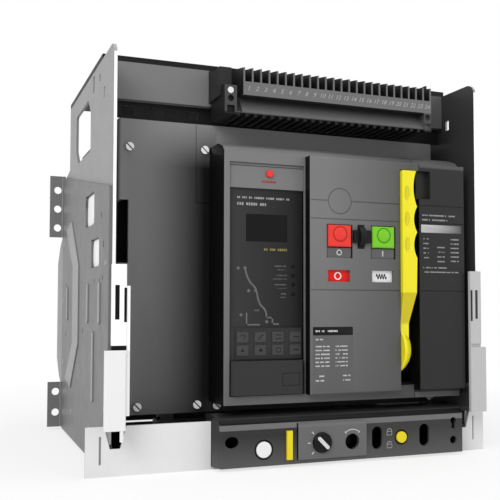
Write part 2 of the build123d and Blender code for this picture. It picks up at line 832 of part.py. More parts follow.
with BuildPart() as carriage:
    box_between(about(0, hook_x + carriage_overhang), carriage_y, (sheet + flat_gap, carriage_top))
    for x in (-hook_x, hook_x):
        box_between(about(x, hook_half), carriage_y, (carriage_top, body_bottom + hook_rise))
    rod_along_y(crank_x, carriage_y, crank_z, thread_radius + pin_gap, mode=Mode.SUBTRACT)
save(carriage, "racking_carriage")


# Breaker base: moulded rear shell, pole barriers, and a front wall of bars round the link windows
chamber_floor = body_bottom + 12.0
chamber_front = frame_rear + 10.0
chamber_rear = body_rear - 12.0
link_window = (24.0, 90.0)
link_window_z = upper_bar_z - 17.0
base_corner = 3.0
hook_gap = 0.3
pocket_z = (body_bottom, body_bottom + hook_rise + hook_gap)
body_x = (-body_half_width, body_half_width)
chambers_x = (pole_x[0] - chamber_half, pole_x[-1] + chamber_half)

with BuildPart() as base_shell:
    box_between(body_x, (chamber_front, body_rear), (body_bottom, body_top))
    fillet(base_shell.edges().filter_by(Axis.Z).group_by(Axis.Y)[-1], base_corner)
    box_between(chambers_x, (chamber_front, chamber_rear), (chamber_floor, body_top), mode=Mode.SUBTRACT)
    for x in pole_x:
        for z in bar_levels:
            slot = (about(x, bar_width / 2), (chamber_rear, body_rear), about(z, blade_thickness / 2))
            box_between(*slot, mode=Mode.SUBTRACT)
    for x in (-hook_x, hook_x):
        hook_path = (about(x, hook_half + hook_gap), (chamber_front, body_rear), pocket_z)
        box_between(*hook_path, mode=Mode.SUBTRACT)

link_wall_y = (frame_rear, chamber_front)
link_opening_z = about(link_window_z, link_window[1] / 2)
post_edges = [-body_half_width]
for x in pole_x:
    post_edges += about(x, link_window[0] / 2)
post_edges.append(body_half_width)
foot_edges = [-body_half_width]
for x in (-hook_x, hook_x):
    foot_edges += about(x, hook_half + hook_gap)
foot_edges.append(body_half_width)
wall_bars = [(body_x, (link_opening_z[1], body_top)), (body_x, (pocket_z[1], link_opening_z[0]))]
wall_bars += [(edges, link_opening_z) for edges in zip(post_edges[::2], post_edges[1::2])]
wall_bars += [(edges, pocket_z) for edges in zip(foot_edges[::2], foot_edges[1::2])]
front_wall = []
for bar_x, bar_z in wall_bars:
    with BuildPart() as wall_bar:
        box_between(bar_x, link_wall_y, bar_z)
    front_wall.append(wall_bar.part)

barriers = []
for x in pole_x[:-1]:
    with BuildPart() as barrier:
        wall_x = (x + chamber_half, x + pole_pitch - chamber_half)
        box_between(wall_x, (chamber_front, chamber_rear), (chamber_floor, body_top))
    barriers.append(barrier.part)

base_shell.part = Compound(children=[base_shell.part] + front_wall + barriers)
save(base_shell, "breaker_base")

# Breaker frame: moulded front half, with the bay for the cover, a screw pocket and the moulding seams
bay_x = (cover_left + 5.5, cover_right - 9.0)
bay_z = (cover_bottom + 6.5, cover_top + 7.5)
frame_pocket_x = (-body_half_width, -body_half_width + 11.2)
frame_pocket_z = (body_top - 155.5, body_top - 87.5)
frame_pocket_depth = 30.0
seam_width = 1.2
seam_depth = 1.0
seam_x = cover_left - 15.5
body_screw_radius = 4.5
body_screw_height = 3.0
screw_slot = (1.4, 1.4)
slot_overrun = 1.0
screw_places = [
    (-body_half_width + 11.7, body_top - 30.5),
    (cover_left - 6.0, body_top - 28.5),
    (-body_half_width + 22.0, body_bottom + 8.5),
    (cover_left - 13.7, body_bottom + 8.5),
    (cover_left + 9.0, body_bottom + 7.0),
    (body_half_width - 8.0, body_bottom + 6.5),
]

with BuildPart() as breaker_frame:
    box_between(body_x, (wall_front, frame_rear), (body_bottom, body_top))
    fillet(breaker_frame.edges().filter_by(Axis.Z).group_by(Axis.Y)[0], base_corner)
    hollow_x = (-body_half_width + body_wall, body_half_width - body_wall)
    hollow_z = (body_bottom + body_wall, body_top - body_wall)
    box_between(hollow_x, (wall_front + body_wall, frame_rear), hollow_z, mode=Mode.SUBTRACT)
    box_between(bay_x, (wall_front, wall_front + body_wall), bay_z, mode=Mode.SUBTRACT)
    pocket_y = (wall_front, wall_front + frame_pocket_depth)
    box_between(frame_pocket_x, pocket_y, frame_pocket_z, mode=Mode.SUBTRACT)
    seam_y = (wall_front, wall_front + seam_depth)
    upper_seam = (about(seam_x, seam_width / 2), seam_y, (frame_pocket_z[1], body_top))
    box_between(*upper_seam, mode=Mode.SUBTRACT)
    level_seam = ((seam_x, bay_x[0]), seam_y, about(frame_pocket_z[1], seam_width / 2))
    box_between(*level_seam, mode=Mode.SUBTRACT)
    for x in (-hook_x, hook_x):
        hook_y = (carriage_y[0] - flat_gap, frame_rear)
        box_between(about(x, hook_half + hook_gap), hook_y, pocket_z, mode=Mode.SUBTRACT)
save(breaker_frame, "breaker_frame")

# Slotted screws of the body's front wall
with BuildPart() as body_screws:
    screw_y = (wall_front - body_screw_height, wall_front)
    for x, z in screw_places:
        rod_along_y(x, screw_y, z, body_screw_radius)
    with BuildSketch(Plane.XZ.offset(-screw_y[0])):
        for place in screw_places:
            with Locations(place):
                Rectangle(2 * body_screw_radius + slot_overrun, screw_slot[0], rotation=-45)
    extrude(amount=-screw_slot[1], mode=Mode.SUBTRACT)
save(body_screws, "body_screws")

# Slide shoes: four nylon blocks that carry the body in the rails
shoe_length = 30.0
shoe_y = (wall_front + 20.0, body_rear - 50.0)
shoe_outer = rail_outer - rail_wall - flat_gap
shoe_z = (body_bottom, rail_top - rail_wall - flat_gap)
with BuildPart() as slide_shoes:
    for side in (-1, 1):
        across = span(side * body_half_width, side * shoe_outer)
        for y in shoe_y:
            box_between(across, (y, y + shoe_length), shoe_z)
    chamfer(slide_shoes.edges().filter_by(Axis.Z), 2.0)
save(slide_shoes, "slide_shoes")

# Arc chutes: open boxes in the mouth of each chamber, vented at the top
chute_bottom = body_top - 70.5
chute_wall = 3.0
chute_vent = (60.0, 5.0)
splitter_count = 7
splitter_pitch = 15.0
splitter_thickness = 2.0
splitter_inset = 12.0
splitter_start = chamber_front + chute_wall + splitter_inset
vent_y = splitter_start + ((splitter_count - 1) * splitter_pitch + splitter_thickness) / 2
with BuildPart() as arc_chutes:
    for x in pole_x:
        box_between(about(x, chamber_half), (chamber_front, chamber_rear), (chute_bottom, body_top))
        inside_y = (chamber_front + chute_wall, chamber_rear - chute_wall)
        inside = (about(x, chamber_half - chute_wall), inside_y, (chute_bottom, body_top - chute_wall))
        box_between(*inside, mode=Mode.SUBTRACT)
    with BuildSketch(Plane.XY.offset(body_top - chute_wall)):
        for x in pole_x:
            with Locations((x, vent_y)):
                with GridLocations(0, splitter_pitch, 1, splitter_count - 1):
                    SlotOverall(*chute_vent)
    extrude(amount=chute_wall, mode=Mode.SUBTRACT)
save(arc_chutes, "arc_chutes")

# Splitter plates of the chutes, each with the V notch that the arc runs into
splitter_notch = (30.0, 28.0)
splitter_z = (chute_bottom + 4.0, body_top - chute_wall)
with BuildPart() as splitters:
    for n in range(splitter_count):
        y = splitter_start + n * splitter_pitch
        with BuildSketch(Plane.XZ.offset(-y)):
            for x in pole_x:
                left, right = about(x, chamber_half - chute_wall)
                with BuildLine():
                    Polyline(
                        (left, splitter_z[1]),
                        (left, splitter_z[0]),
                        (x - splitter_notch[0] / 2, splitter_z[0]),
                        (x, splitter_z[0] + splitter_notch[1]),
                        (x + splitter_notch[0] / 2, splitter_z[0]),
                        (right, splitter_z[0]),
                        (right, splitter_z[1]),
                        close=True,
                    )
                make_face()
        extrude(amount=-splitter_thickness)
save(splitters, "arc_splitter_plates")

# Blades and fixed contacts of the breaker
stab_tip = terminal_front - 4.0
contact_pivot_y = chamber_rear - 58.0
contact_pivot_z = lower_bar_z + 6.0
arm_half = 6.7
pad_thickness = 3.0
pad_front = contact_pivot_y + arm_half + flat_gap
pad = (44.0, 14.0)
lower_blade_setback = 16.0
blade_chamfer = 3.0


def blades_at(z, front):
    """One copper blade for each pole through the rear of the base, with a bevelled tip."""
    with BuildPart() as blades:
        for x in pole_x:
            box_between(about(x, bar_width / 2), (front, stab_tip), about(z, blade_thickness / 2))
        tips = blades.faces().filter_by(Axis.Y).group_by(Axis.Y)[-1]
        chamfer(tips.edges().filter_by(Axis.X), blade_chamfer)
    return blades


save(blades_at(upper_bar_z, pad_front + pad_thickness), "upper_blades")
save(blades_at(lower_bar_z, contact_pivot_y + lower_blade_setback), "lower_blades")

with BuildPart() as fixed_contacts:
    for x in pole_x:
        pad_y = (pad_front, pad_front + pad_thickness)
        box_between(about(x, pad[0] / 2), pad_y, about(upper_bar_z, pad[1] / 2))
save(fixed_contacts, "fixed_contacts")

# Current transformers: one moulded ring round each lower blade
ring_length = 30.0
ring_half_height = 32.0
ring_side_gap = 3.5
ring_corner = 6.0
with BuildPart() as transformers:
    for x in pole_x:
        ring_y = (chamber_rear - ring_length, chamber_rear)
        box_between(about(x, chamber_half - ring_side_gap), ring_y, about(lower_bar_z, ring_half_height))
    fillet(transformers.edges().filter_by(Axis.Y), ring_corner)
    for x in pole_x:
        hole = (about(x, bar_width / 2), ring_y, about(lower_bar_z, blade_thickness / 2))
        box_between(*hole, mode=Mode.SUBTRACT)
save(transformers, "current_transformers")

# Moving contacts: arms hinged on pins, drawn open, with the links that the main shaft pushes
open_angle = 18.0
contact_pin_radius = 5.0
arm_width = 9.0
arm_pitch = 11.0
arms_per_pole = 4
arm_eye = 3.3
arm_tip_rise = 8.0
arm_tip_z = upper_bar_z + arm_tip_rise
arm_taper = 1.7

with BuildPart() as pivot_pins:
    for x in pole_x:
        rod_along_x(about(x, chamber_half), contact_pivot_y, contact_pivot_z, contact_pin_radius)
save(pivot_pins, "contact_pivot_pins")

open_turn = math.radians(open_angle)
arm_plane = Plane(
    origin=(0, contact_pivot_y, contact_pivot_z),
    x_dir=(0, math.cos(open_turn), math.sin(open_turn)),
    z_dir=(1, 0, 0),
)
arm_length = arm_tip_z - contact_pivot_z
with BuildPart() as moving_contacts:
    for x in pole_x:
        for n in range(arms_per_pole):
            left = x + (n - arms_per_pole / 2) * arm_pitch + (arm_pitch - arm_width) / 2
            with BuildSketch(arm_plane.offset(left)):
                with BuildLine():
                    Polyline(
                        (arm_half, 0),
                        (arm_half, arm_length),
                        (-arm_half + arm_taper, arm_length),
                        (-arm_half, arm_length / 2),
                        (-arm_half, 0),
                        close=True,
                    )
                make_face()
                Circle(arm_half + arm_eye)
                Circle(contact_pin_radius + pin_gap, mode=Mode.SUBTRACT)
            extrude(amount=arm_width)
save(moving_contacts, "moving_contacts")

# Main shaft with an eyed lever for each pole and its end bearings
shaft_y = frame_rear - 27.0
shaft_z = upper_bar_z - 12.0
shaft_radius = 12.0
lever_length = 32.0
lever_width = 10.0
lever_root = 8.0
lever_eye = 6.0
shaft_collar = 5.0
bearing_width = 14.0
bearing_half = 20.0
shaft_end = body_half_width - body_wall
with BuildPart() as main_shaft:
    rod_along_x(about(0, shaft_end - flat_gap), shaft_y, shaft_z, shaft_radius)
    for x in pole_x:
        rod_along_x(about(x, lever_width / 2), shaft_y, shaft_z, shaft_radius + shaft_collar)
        with BuildSketch(Plane.YZ.offset(x - lever_width / 2)):
            with BuildLine():
                Polyline(
                    (shaft_y - lever_root, shaft_z),
                    (shaft_y - lever_eye, shaft_z + lever_length - lever_eye),
                    (shaft_y + lever_eye, shaft_z + lever_length - lever_eye),
                    (shaft_y + lever_root, shaft_z),
                    close=True,
                )
            make_face()
            with Locations((shaft_y, shaft_z + lever_length - lever_eye)):
                Circle(lever_eye)
        extrude(amount=lever_width)
save(main_shaft, "main_shaft")

with BuildPart() as shaft_bearings:
    for side in (-1, 1):
        across = span(side * shaft_end, side * (shaft_end - bearing_width))
        box_between(across, about(shaft_y, bearing_half), about(shaft_z, bearing_half))
    fillet(shaft_bearings.edges().filter_by(Axis.X), ring_corner)
    rod_along_x(about(0, shaft_end), shaft_y, shaft_z, shaft_radius + pin_gap, mode=Mode.SUBTRACT)
save(shaft_bearings, "main_shaft_bearings")

# Drive links: insulating rods from the arms towards the shaft's levers
link_root_z = 52.0
link_root_half = 6.0
link_half = 5.0
link_gap = 22.0
link_offset = 4.6
link_reach = contact_pivot_y - shaft_y - lever_length - link_gap
link_tip_z = link_root_z + link_reach * math.tan(open_turn) + link_offset
with BuildPart() as drive_links:
    for x in pole_x:
        with BuildSketch(arm_plane.offset(x - link_half)):
            with BuildLine():
                Polyline(
                    (-arm_half, link_root_z - link_root_half),
                    (-arm_half, link_root_z + link_root_half),
                    (-arm_half - link_reach, link_tip_z + 2 * link_half),
                    (-arm_half - link_reach, link_tip_z),
                    close=True,
                )
            make_face()
        extrude(amount=2 * link_half)
save(drive_links, "drive_links")


# Face cover: moulded shell with the trip unit window and the opening behind the mechanism cover
cover_wall = 3.0
bevel_start = 2.0
bevel_knee = (6.0, 4.0)
bevel_end = (20.0, 9.0)
trip_x = (cover_left + 6.5, mech_left - 1.0)
trip_z = (cover_bottom + 9.0, cover_top - 13.0)
opening_x = (mech_left + 4.0, cover_right - 4.0)
opening_z = (mech_bottom + 5.5, mech_top - 4.5)
cover_edge = 2.0
with BuildPart() as face_cover:
    with BuildSketch(Plane.YZ.offset(cover_left)):
        with BuildLine():
            Polyline(
                (cover_front, cover_bottom),
                (cover_front, cover_top - bevel_start),
                (cover_front + bevel_knee[0], cover_top + bevel_knee[1]),
                (cover_front + bevel_end[0], cover_top + bevel_end[1]),
                (wall_front, cover_top + bevel_end[1]),
                (wall_front, cover_bottom),
                close=True,
            )
        make_face()
    extrude(amount=cover_right - cover_left)
    upright = face_cover.edges().filter_by(Axis.Z).group_by(Axis.Y)[0]
    fillet(upright, cover_edge)
    inside_x = (cover_left + cover_wall, cover_right - cover_wall)
    inside_z = (cover_bottom + cover_wall, cover_top - cover_wall)
    box_between(inside_x, (cover_front + cover_wall, wall_front), inside_z, mode=Mode.SUBTRACT)
    depth = (cover_front, cover_front + cover_wall)
    box_between(trip_x, depth, trip_z, mode=Mode.SUBTRACT)
    box_between(opening_x, depth, opening_z, mode=Mode.SUBTRACT)
save(face_cover, "face_cover")

# Mechanism cover: proud panel with the button windows, flag windows, label plate and handle slot
mech_edge = 1.5
slot_top = mech_top - 8.5
open_x = mech_left + 34.8
close_x = slot_left - 22.7
button_z = mech_top - 86.5
button_width = 27.6
button_height = 23.6
flag_width = 27.0
flag_height = 12.8
flag_z = button_z - 43.5
pocket_sunk = 0.8
pocket_side = 0.7
pocket_z = (button_z - 23.5, button_z + 12.9)
lock_x = (open_x + close_x) / 2
lock_half = 4.0
lock_height = 26.0
recess_width = 15.2
recess_height = 32.0
recess_depth = 7.0
recess_x = (slot_right, slot_right + recess_width)
recess_z = (slot_top - recess_height, slot_top)
groove_z = (mech_top - 48.0, mech_top - 68.0, flag_z - 15.5)
groove_width = 1.2
groove_depth = 0.8
mark_x = mech_left + 36.0
mark_z = mech_top - 48.2
mark_radius = 14.5

with BuildPart() as mechanism_cover:
    box_between((mech_left, cover_right), (mech_front, cover_front), (mech_bottom, mech_top))
    rim = mechanism_cover.edges().group_by(Axis.Y)[0]
    chamfer(rim, mech_edge)
    back = (mech_front + cover_wall, cover_front)
    left_hollow = (mech_left + cover_wall, slot_left - cover_wall)
    full_z = (mech_bottom + cover_wall, mech_top - cover_wall)
    box_between(left_hollow, back, full_z, mode=Mode.SUBTRACT)
    right_hollow = (recess_x[1] + cover_wall, cover_right - cover_wall)
    box_between(right_hollow, back, full_z, mode=Mode.SUBTRACT)
    lower_hollow = (slot_right + cover_wall, recess_x[1] + cover_wall)
    lower_z = (mech_bottom + cover_wall, recess_z[0] - cover_wall)
    box_between(lower_hollow, back, lower_z, mode=Mode.SUBTRACT)
    slot_limits = (slot_left, slot_right)
    box_between(slot_limits, (mech_front, cover_front), (mech_bottom, slot_top), mode=Mode.SUBTRACT)
    recess_y = (mech_front, mech_front + recess_depth)
    box_between(recess_x, recess_y, recess_z, mode=Mode.SUBTRACT)
    with BuildSketch(Plane.XZ.offset(-mech_front)):
        for z in groove_z:
            with Locations(((mech_left + cover_right) / 2, z)):
                Rectangle(cover_right - mech_left, groove_width)
        with Locations((mark_x, mark_z)):
            Circle(mark_radius, mode=Mode.SUBTRACT)
            Circle(mark_radius)
            Circle(mark_radius - groove_width, mode=Mode.SUBTRACT)
        for x in (open_x, close_x):
            with Locations((x, (pocket_z[0] + pocket_z[1]) / 2)):
                Rectangle(button_width + 2 * pocket_side, pocket_z[1] - pocket_z[0])
    extrude(amount=-groove_depth, mode=Mode.SUBTRACT)
    with BuildSketch(Plane.XZ.offset(-mech_front)):
        for x in (open_x, close_x):
            with Locations((x, button_z)):
                Rectangle(button_width + 2 * flat_gap, button_height + 2 * flat_gap)
            with Locations((x, flag_z)):
                Rectangle(flag_width, flag_height)
        with Locations((lock_x, button_z)):
            Rectangle(2 * (lock_half + flat_gap), lock_height + 2 * flat_gap)
    extrude(amount=-cover_wall, mode=Mode.SUBTRACT)
save(mechanism_cover, "mechanism_cover")

# Handle well: moulded liner that closes the slot round the charging handle
hub_y = cover_front + 8.5
hub_z = cover_bottom + 55.2
charging_shaft_radius = 8.0
well_rear = wall_front + 30.0
well_wall = 2.0
well_foot = 6.0
well_head = 3.0
shaft_window = 9.0
with BuildPart() as handle_well:
    outer_x = (slot_left - well_wall, slot_right + well_wall)
    well_z = (mech_bottom + well_foot, slot_top + well_head)
    inner_z = (well_z[0] + well_wall, well_z[1] - well_wall)
    box_between(outer_x, (cover_front + cover_wall, well_rear), well_z)
    inner_y = (cover_front + cover_wall, well_rear - well_wall)
    box_between(slot_limits, inner_y, inner_z, mode=Mode.SUBTRACT)
    side_x = (outer_x[0], slot_left)
    box_between(side_x, about(hub_y, shaft_window), about(hub_z, shaft_window), mode=Mode.SUBTRACT)
save(handle_well, "handle_well")

# Charging handle: front outline with finger scallops, cut to a cranked side profile, on a domed hub
handle_left = slot_left + 0.8
handle_width = 18.4
handle_right = handle_left + handle_width
handle_top = slot_top - 1.4
handle_front = mech_front - 5.0
handle_rear = cover_front - 1.0
grip_end = handle_top - 138.2
grip_inset = 1.0
grip_bevel = 1.0
shank_sunk = 2.0
shank_heel = 2.5
shank_setback = 4.0
dome_overrun = 0.2
dome_shoulder = (14.72, 17.36)
scallop_count = 3
scallop_pitch = 29.0
scallop_drop = 40.6
scallop_depth = 4.0
shank_right = handle_left + 10.9
shank_drop = 34.4
hub_radius = 28.0
hub_rim = 3.0
crank_drop = (0.0, 8.0, 21.5)

with BuildPart() as charging_handle:
    with BuildSketch(Plane.XZ.offset(-handle_front)):
        with BuildLine():
            Line((handle_left, hub_z), (handle_left, handle_top))
            Line((handle_left, handle_top), (handle_right - grip_inset, handle_top))
            start = (handle_right - grip_inset, handle_top)
            for n in range(scallop_count):
                crest_z = handle_top - scallop_drop - n * scallop_pitch
                trough_z = crest_z + scallop_pitch / 2
                end = (handle_right, crest_z)
                ThreePointArc(start, (handle_right - scallop_depth, trough_z), end)
                start = end
            Line(start, (handle_right - grip_inset, grip_end))
            Line((handle_right - grip_inset, grip_end), (shank_right, grip_end - shank_drop))
            Line((shank_right, grip_end - shank_drop), (shank_right, hub_z))
            Line((shank_right, hub_z), (handle_left, hub_z))
        make_face()
    extrude(amount=handle_front - hub_y)
    with BuildSketch(Plane.YZ.offset(handle_left)):
        with BuildLine():
            Polyline(
                (handle_front, handle_top),
                (handle_front, grip_end),
                (mech_front + shank_sunk, grip_end - shank_drop),
                (mech_front + shank_sunk, hub_z),
                (hub_y - shank_setback, hub_z),
                (cover_front + shank_heel, grip_end - shank_drop),
                (handle_rear, grip_end),
                (handle_rear, handle_top),
                close=True,
            )
        make_face()
    extrude(amount=handle_width, mode=Mode.INTERSECT)
    grip_edges = charging_handle.edges().filter_by(Axis.Z).group_by(Axis.Y)[0]
    chamfer(grip_edges.sort_by(Axis.X)[0], grip_bevel)
    with BuildSketch(Plane.XY.offset(hub_z)):
        with BuildLine():
            Line((handle_left, hub_y), (handle_left + handle_width + dome_overrun, hub_y))
            dome_edge = (handle_left + hub_rim, hub_y - hub_radius)
            dome_top = (handle_left + handle_width + dome_overrun, hub_y)
            dome_mid = (handle_left + dome_shoulder[0], hub_y - dome_shoulder[1])
            ThreePointArc(dome_top, dome_mid, dome_edge)
            Line(dome_edge, (handle_left, hub_y - hub_radius))
            Line((handle_left, hub_y - hub_radius), (handle_left, hub_y))
        make_face()
    revolve(axis=Axis((handle_left, hub_y, hub_z), (1, 0, 0)))
    bore = (handle_left, handle_right - 2.0)
    rod_along_x(bore, hub_y, hub_z, charging_shaft_radius + pin_gap, mode=Mode.SUBTRACT)
save(charging_handle, "charging_handle")

# Mechanism: two shaped steel plates with tie rods, a shelf and holes for the shafts
mech_plate_x = (mech_left + 10.0, mech_left + 98.0)
mech_plate_y = (cover_front + 8.0, frame_rear - 14.0)
mech_plate_z = (mech_bottom + 20.5, mech_top - 14.5)
mech_sheet = 4.0
plate_cut_depth = 30.0
plate_cut_z = (button_z - 60.0, button_z + 30.0)
plate_shoulder = 40.0
tie_radius = 5.0
spring_y = wall_front - 0.5
spring_seat_z = (button_z - 66.0, button_z + 54.0)
shelf_z = button_z - 106.0
shelf_y = (spring_y - 22.0, spring_y + 8.0)
relief_radius = 12.0
relief_place = (shaft_y, mech_plate_z[0] + 50.0)
whole_x = (mech_plate_x[0], mech_plate_x[1] + mech_sheet)
with BuildPart() as mechanism_plates:
    for x in mech_plate_x:
        with BuildSketch(Plane.YZ.offset(x)):
            with BuildLine():
                Polyline(
                    (mech_plate_y[0], mech_plate_z[0]),
                    (mech_plate_y[0], plate_cut_z[0]),
                    (mech_plate_y[0] + plate_cut_depth, plate_cut_z[0]),
                    (mech_plate_y[0] + plate_cut_depth, plate_cut_z[1]),
                    (mech_plate_y[0], plate_cut_z[1]),
                    (mech_plate_y[0], mech_plate_z[1]),
                    (mech_plate_y[1] - plate_shoulder, mech_plate_z[1]),
                    (mech_plate_y[1], mech_plate_z[1] - plate_shoulder),
                    (mech_plate_y[1], mech_plate_z[0]),
                    close=True,
                )
            make_face()
            with Locations(relief_place):
                Circle(relief_radius, mode=Mode.SUBTRACT)
            with Locations((hub_y, hub_z)):
                Circle(charging_shaft_radius + pin_gap, mode=Mode.SUBTRACT)
            with Locations((shaft_y, shaft_z)):
                Circle(shaft_radius + pin_gap, mode=Mode.SUBTRACT)
        extrude(amount=mech_sheet)
    for z in spring_seat_z:
        rod_along_x(whole_x, spring_y, z, tie_radius)
    box_between(whole_x, shelf_y, (shelf_z, shelf_z + sheet))
save(mechanism_plates, "mechanism_plates")

# Charging shaft with its ratchet wheel
ratchet_teeth = 16
ratchet_root = 12.5
ratchet_tip = 15.5
ratchet_x = (mech_plate_x[0] + 20.0, mech_plate_x[0] + 30.0)
with BuildPart() as charging_shaft:
    shaft_limits = (mech_plate_x[0] - 2.0, handle_right - 3.0)
    rod_along_x(shaft_limits, hub_y, hub_z, charging_shaft_radius)
    with BuildSketch(Plane.YZ.offset(ratchet_x[0])):
        with BuildLine():
            outline = []
            for n in range(ratchet_teeth):
                start_turn = 2 * math.pi * n / ratchet_teeth
                for radius in (ratchet_root, ratchet_tip):
                    y = hub_y + radius * math.cos(start_turn)
                    z = hub_z + radius * math.sin(start_turn)
                    outline.append((y, z))
            Polyline(*outline, close=True)
        make_face()
    extrude(amount=ratchet_x[1] - ratchet_x[0])
save(charging_shaft, "charging_shaft")

# Closing spring between its two tie rods, and the closing and opening coils on their shelf
spring_radius = 13.0
wire_radius = 2.6
wire_sides = 6
spring_turns = 7
spring_x = (whole_x[0] + whole_x[1]) / 2
spring_low = spring_seat_z[0] + tie_radius + wire_radius
spring_high = spring_seat_z[1] - tie_radius - wire_radius
with BuildPart() as closing_spring:
    with BuildLine(Plane((spring_x, spring_y, spring_low))) as coil:
        Helix((spring_high - spring_low) / spring_turns, spring_high - spring_low, spring_radius)
    with BuildSketch(Plane(coil.line @ 0, z_dir=coil.line % 0)):
        RegularPolygon(wire_radius, wire_sides)
    sweep(is_frenet=True)
save(closing_spring, "closing_spring")

coil_radius = 10.0
coil_height = 24.0
coil_pitch = 40.0
coil_setback = 8.0
plunger_radius = 3.3
plunger_rise = 6.0
with BuildPart() as release_coils:
    coil_y = spring_y - coil_setback
    for x in about(spring_x, coil_pitch / 2):
        coil_z = (shelf_z + sheet, shelf_z + sheet + coil_height)
        rod_along_z(x, coil_y, coil_z, coil_radius)
        rod_along_z(x, coil_y, (coil_z[1], coil_z[1] + plunger_rise), plunger_radius)
save(release_coils, "release_coils")

# Trip unit: plug-in electronic release, set back in its window
trip_setback = 5.0
trip_front = cover_front + trip_setback
trip_depth = 80.0
trip_body_x = (trip_x[0] + flat_gap, trip_x[1] - flat_gap)
trip_body_z = (trip_z[0] + flat_gap, trip_z[1] - flat_gap)
strip_proud = 2.5
strip_height = 26.7
trip_strip_z = (trip_body_z[1] - strip_height, trip_body_z[1])
display_x = (trip_x[0] + 20.1, trip_x[1] - 18.5)
display_z = (trip_z[1] - 84.0, trip_z[1] - 54.5)
display_sunk = 2.0
display_front = 0.5
keypad_x = (trip_x[0] + 7.5, trip_x[1] - 2.5)
keypad_z = (trip_z[0] + 38.5, trip_z[0] + 71.5)
keypad_bed = 1.0
keypad_sheet = 1.0
led_x = trip_x[1] - 11.6
led_top_z = trip_z[1] - 110.0
led_pitch = 10.0
led_count = 4
led_radius = 2.0
led_z = [led_top_z - n * led_pitch for n in range(led_count)]
reset_x = (display_x[0] + display_x[1]) / 2 + 1.9
reset_z = trip_z[1] - 10.8
reset_radius = 3.8
reset_travel = 8.0
bed_border = 1.0
led_depth = 1.0
with BuildPart() as trip_unit:
    box_between(trip_body_x, (trip_front, trip_front + trip_depth), trip_body_z)
    box_between(trip_body_x, (trip_front - strip_proud, trip_front), trip_strip_z)
    bed_x = (trip_body_x[0] + bed_border, trip_body_x[1] - bed_border)
    bed_z = (keypad_z[0] - bed_border, keypad_z[1] + bed_border)
    box_between(bed_x, (trip_front - keypad_bed, trip_front), bed_z)
    box_between(display_x, (trip_front, trip_front + display_sunk), display_z, mode=Mode.SUBTRACT)
    reset_y = (trip_front - strip_proud, trip_front + reset_travel)
    rod_along_y(reset_x, reset_y, reset_z, reset_radius + flat_gap, mode=Mode.SUBTRACT)
    for z in led_z:
        rod_along_y(led_x, (trip_front, trip_front + led_depth), z, led_radius, mode=Mode.SUBTRACT)
save(trip_unit, "trip_unit")

with BuildPart() as trip_display:
    box_between(display_x, (trip_front + display_front, trip_front + display_sunk), display_z)
save(trip_display, "trip_display")

# Keypad: a membrane with eight raised keys
key_columns = 4
key_rows = 2
key_gap = (7.1, 3.0)
key_margin = (1.3, 4.0)
key_rise = 0.8
field_width = keypad_x[1] - keypad_x[0] - 2 * key_margin[0]
field_height = keypad_z[1] - keypad_z[0] - 2 * key_margin[1]
key_width = (field_width - (key_columns - 1) * key_gap[0]) / key_columns
key_height = (field_height - (key_rows - 1) * key_gap[1]) / key_rows
key_corner = 1.0
with BuildPart() as trip_keypad:
    keypad_front = trip_front - keypad_bed - keypad_sheet
    box_between(keypad_x, (keypad_front, keypad_front + keypad_sheet), keypad_z)
    with BuildSketch(Plane.XZ.offset(-keypad_front)):
        with Locations(((keypad_x[0] + keypad_x[1]) / 2, (keypad_z[0] + keypad_z[1]) / 2)):
            with GridLocations(key_width + key_gap[0], key_height + key_gap[1], key_columns, key_rows):
                RectangleRounded(key_width, key_height, key_corner)
    extrude(amount=key_rise)
save(trip_keypad, "trip_keypad")

# Lower cover of the trip unit, over the rating plug
flap_proud = 9.0
flap_edge = 2.5
with BuildPart() as trip_flap:
    flap_x = (trip_x[0] + 1.5, trip_x[1] - 2.0)
    flap_z = (trip_z[0] + 1.0, trip_z[0] + 37.0)
    box_between(flap_x, (trip_front - flap_proud, trip_front), flap_z)
    front_edges = trip_flap.edges().group_by(Axis.Y)[0]
    chamfer(front_edges.filter_by(Axis.Z), flap_edge)
save(trip_flap, "trip_unit_cover")

reset_proud = 5.5
reset_depth = 4.0
with BuildPart() as reset_button:
    rod_along_y(reset_x, (trip_front - reset_proud, trip_front + reset_depth), reset_z, reset_radius)
    chamfer(reset_button.edges().filter_by(GeomType.CIRCLE).group_by(Axis.Y)[0], 0.6)
save(reset_button, "trip_reset_button")

# Push buttons, padlock slide and flags of the mechanism cover
button_front = mech_front - 3.0
button_rear = mech_front + 13.0
button_bevel = 1.2
for x, name in ((open_x, "open_button"), (close_x, "close_button")):
    with BuildPart() as button:
        button_y = (button_front, button_rear)
        box_between(about(x, button_width / 2), button_y, about(button_z, button_height / 2))
        chamfer(button.edges().group_by(Axis.Y)[0], button_bevel)
    save(button, name)

lock_disc_radius = 12.5
lock_disc_width = 7.0
lock_disc_y = mech_front + 5.0
lock_block_height = 14.0
lock_block_proud = 3.5
lock_button_gap = 2.9
lock_block_half = (close_x - open_x - button_width) / 2 - lock_button_gap
lock_bore = 3.0
with BuildPart() as padlock_slide:
    slide_y = (mech_front - flat_gap, button_rear)
    box_between(about(lock_x, lock_half), slide_y, about(button_z, lock_height / 2))
    with Locations((lock_x, lock_disc_y, button_z)):
        Cylinder(lock_disc_radius, lock_disc_width, rotation=(0, 90, 0))
    block_y = (mech_front - lock_block_proud, mech_front - flat_gap)
    box_between(about(lock_x, lock_block_half), block_y, about(button_z, lock_block_height / 2))
    rod_along_x(about(lock_x, lock_half), mech_front + 7.0, button_z, lock_bore, mode=Mode.SUBTRACT)
save(padlock_slide, "button_padlock_slide")

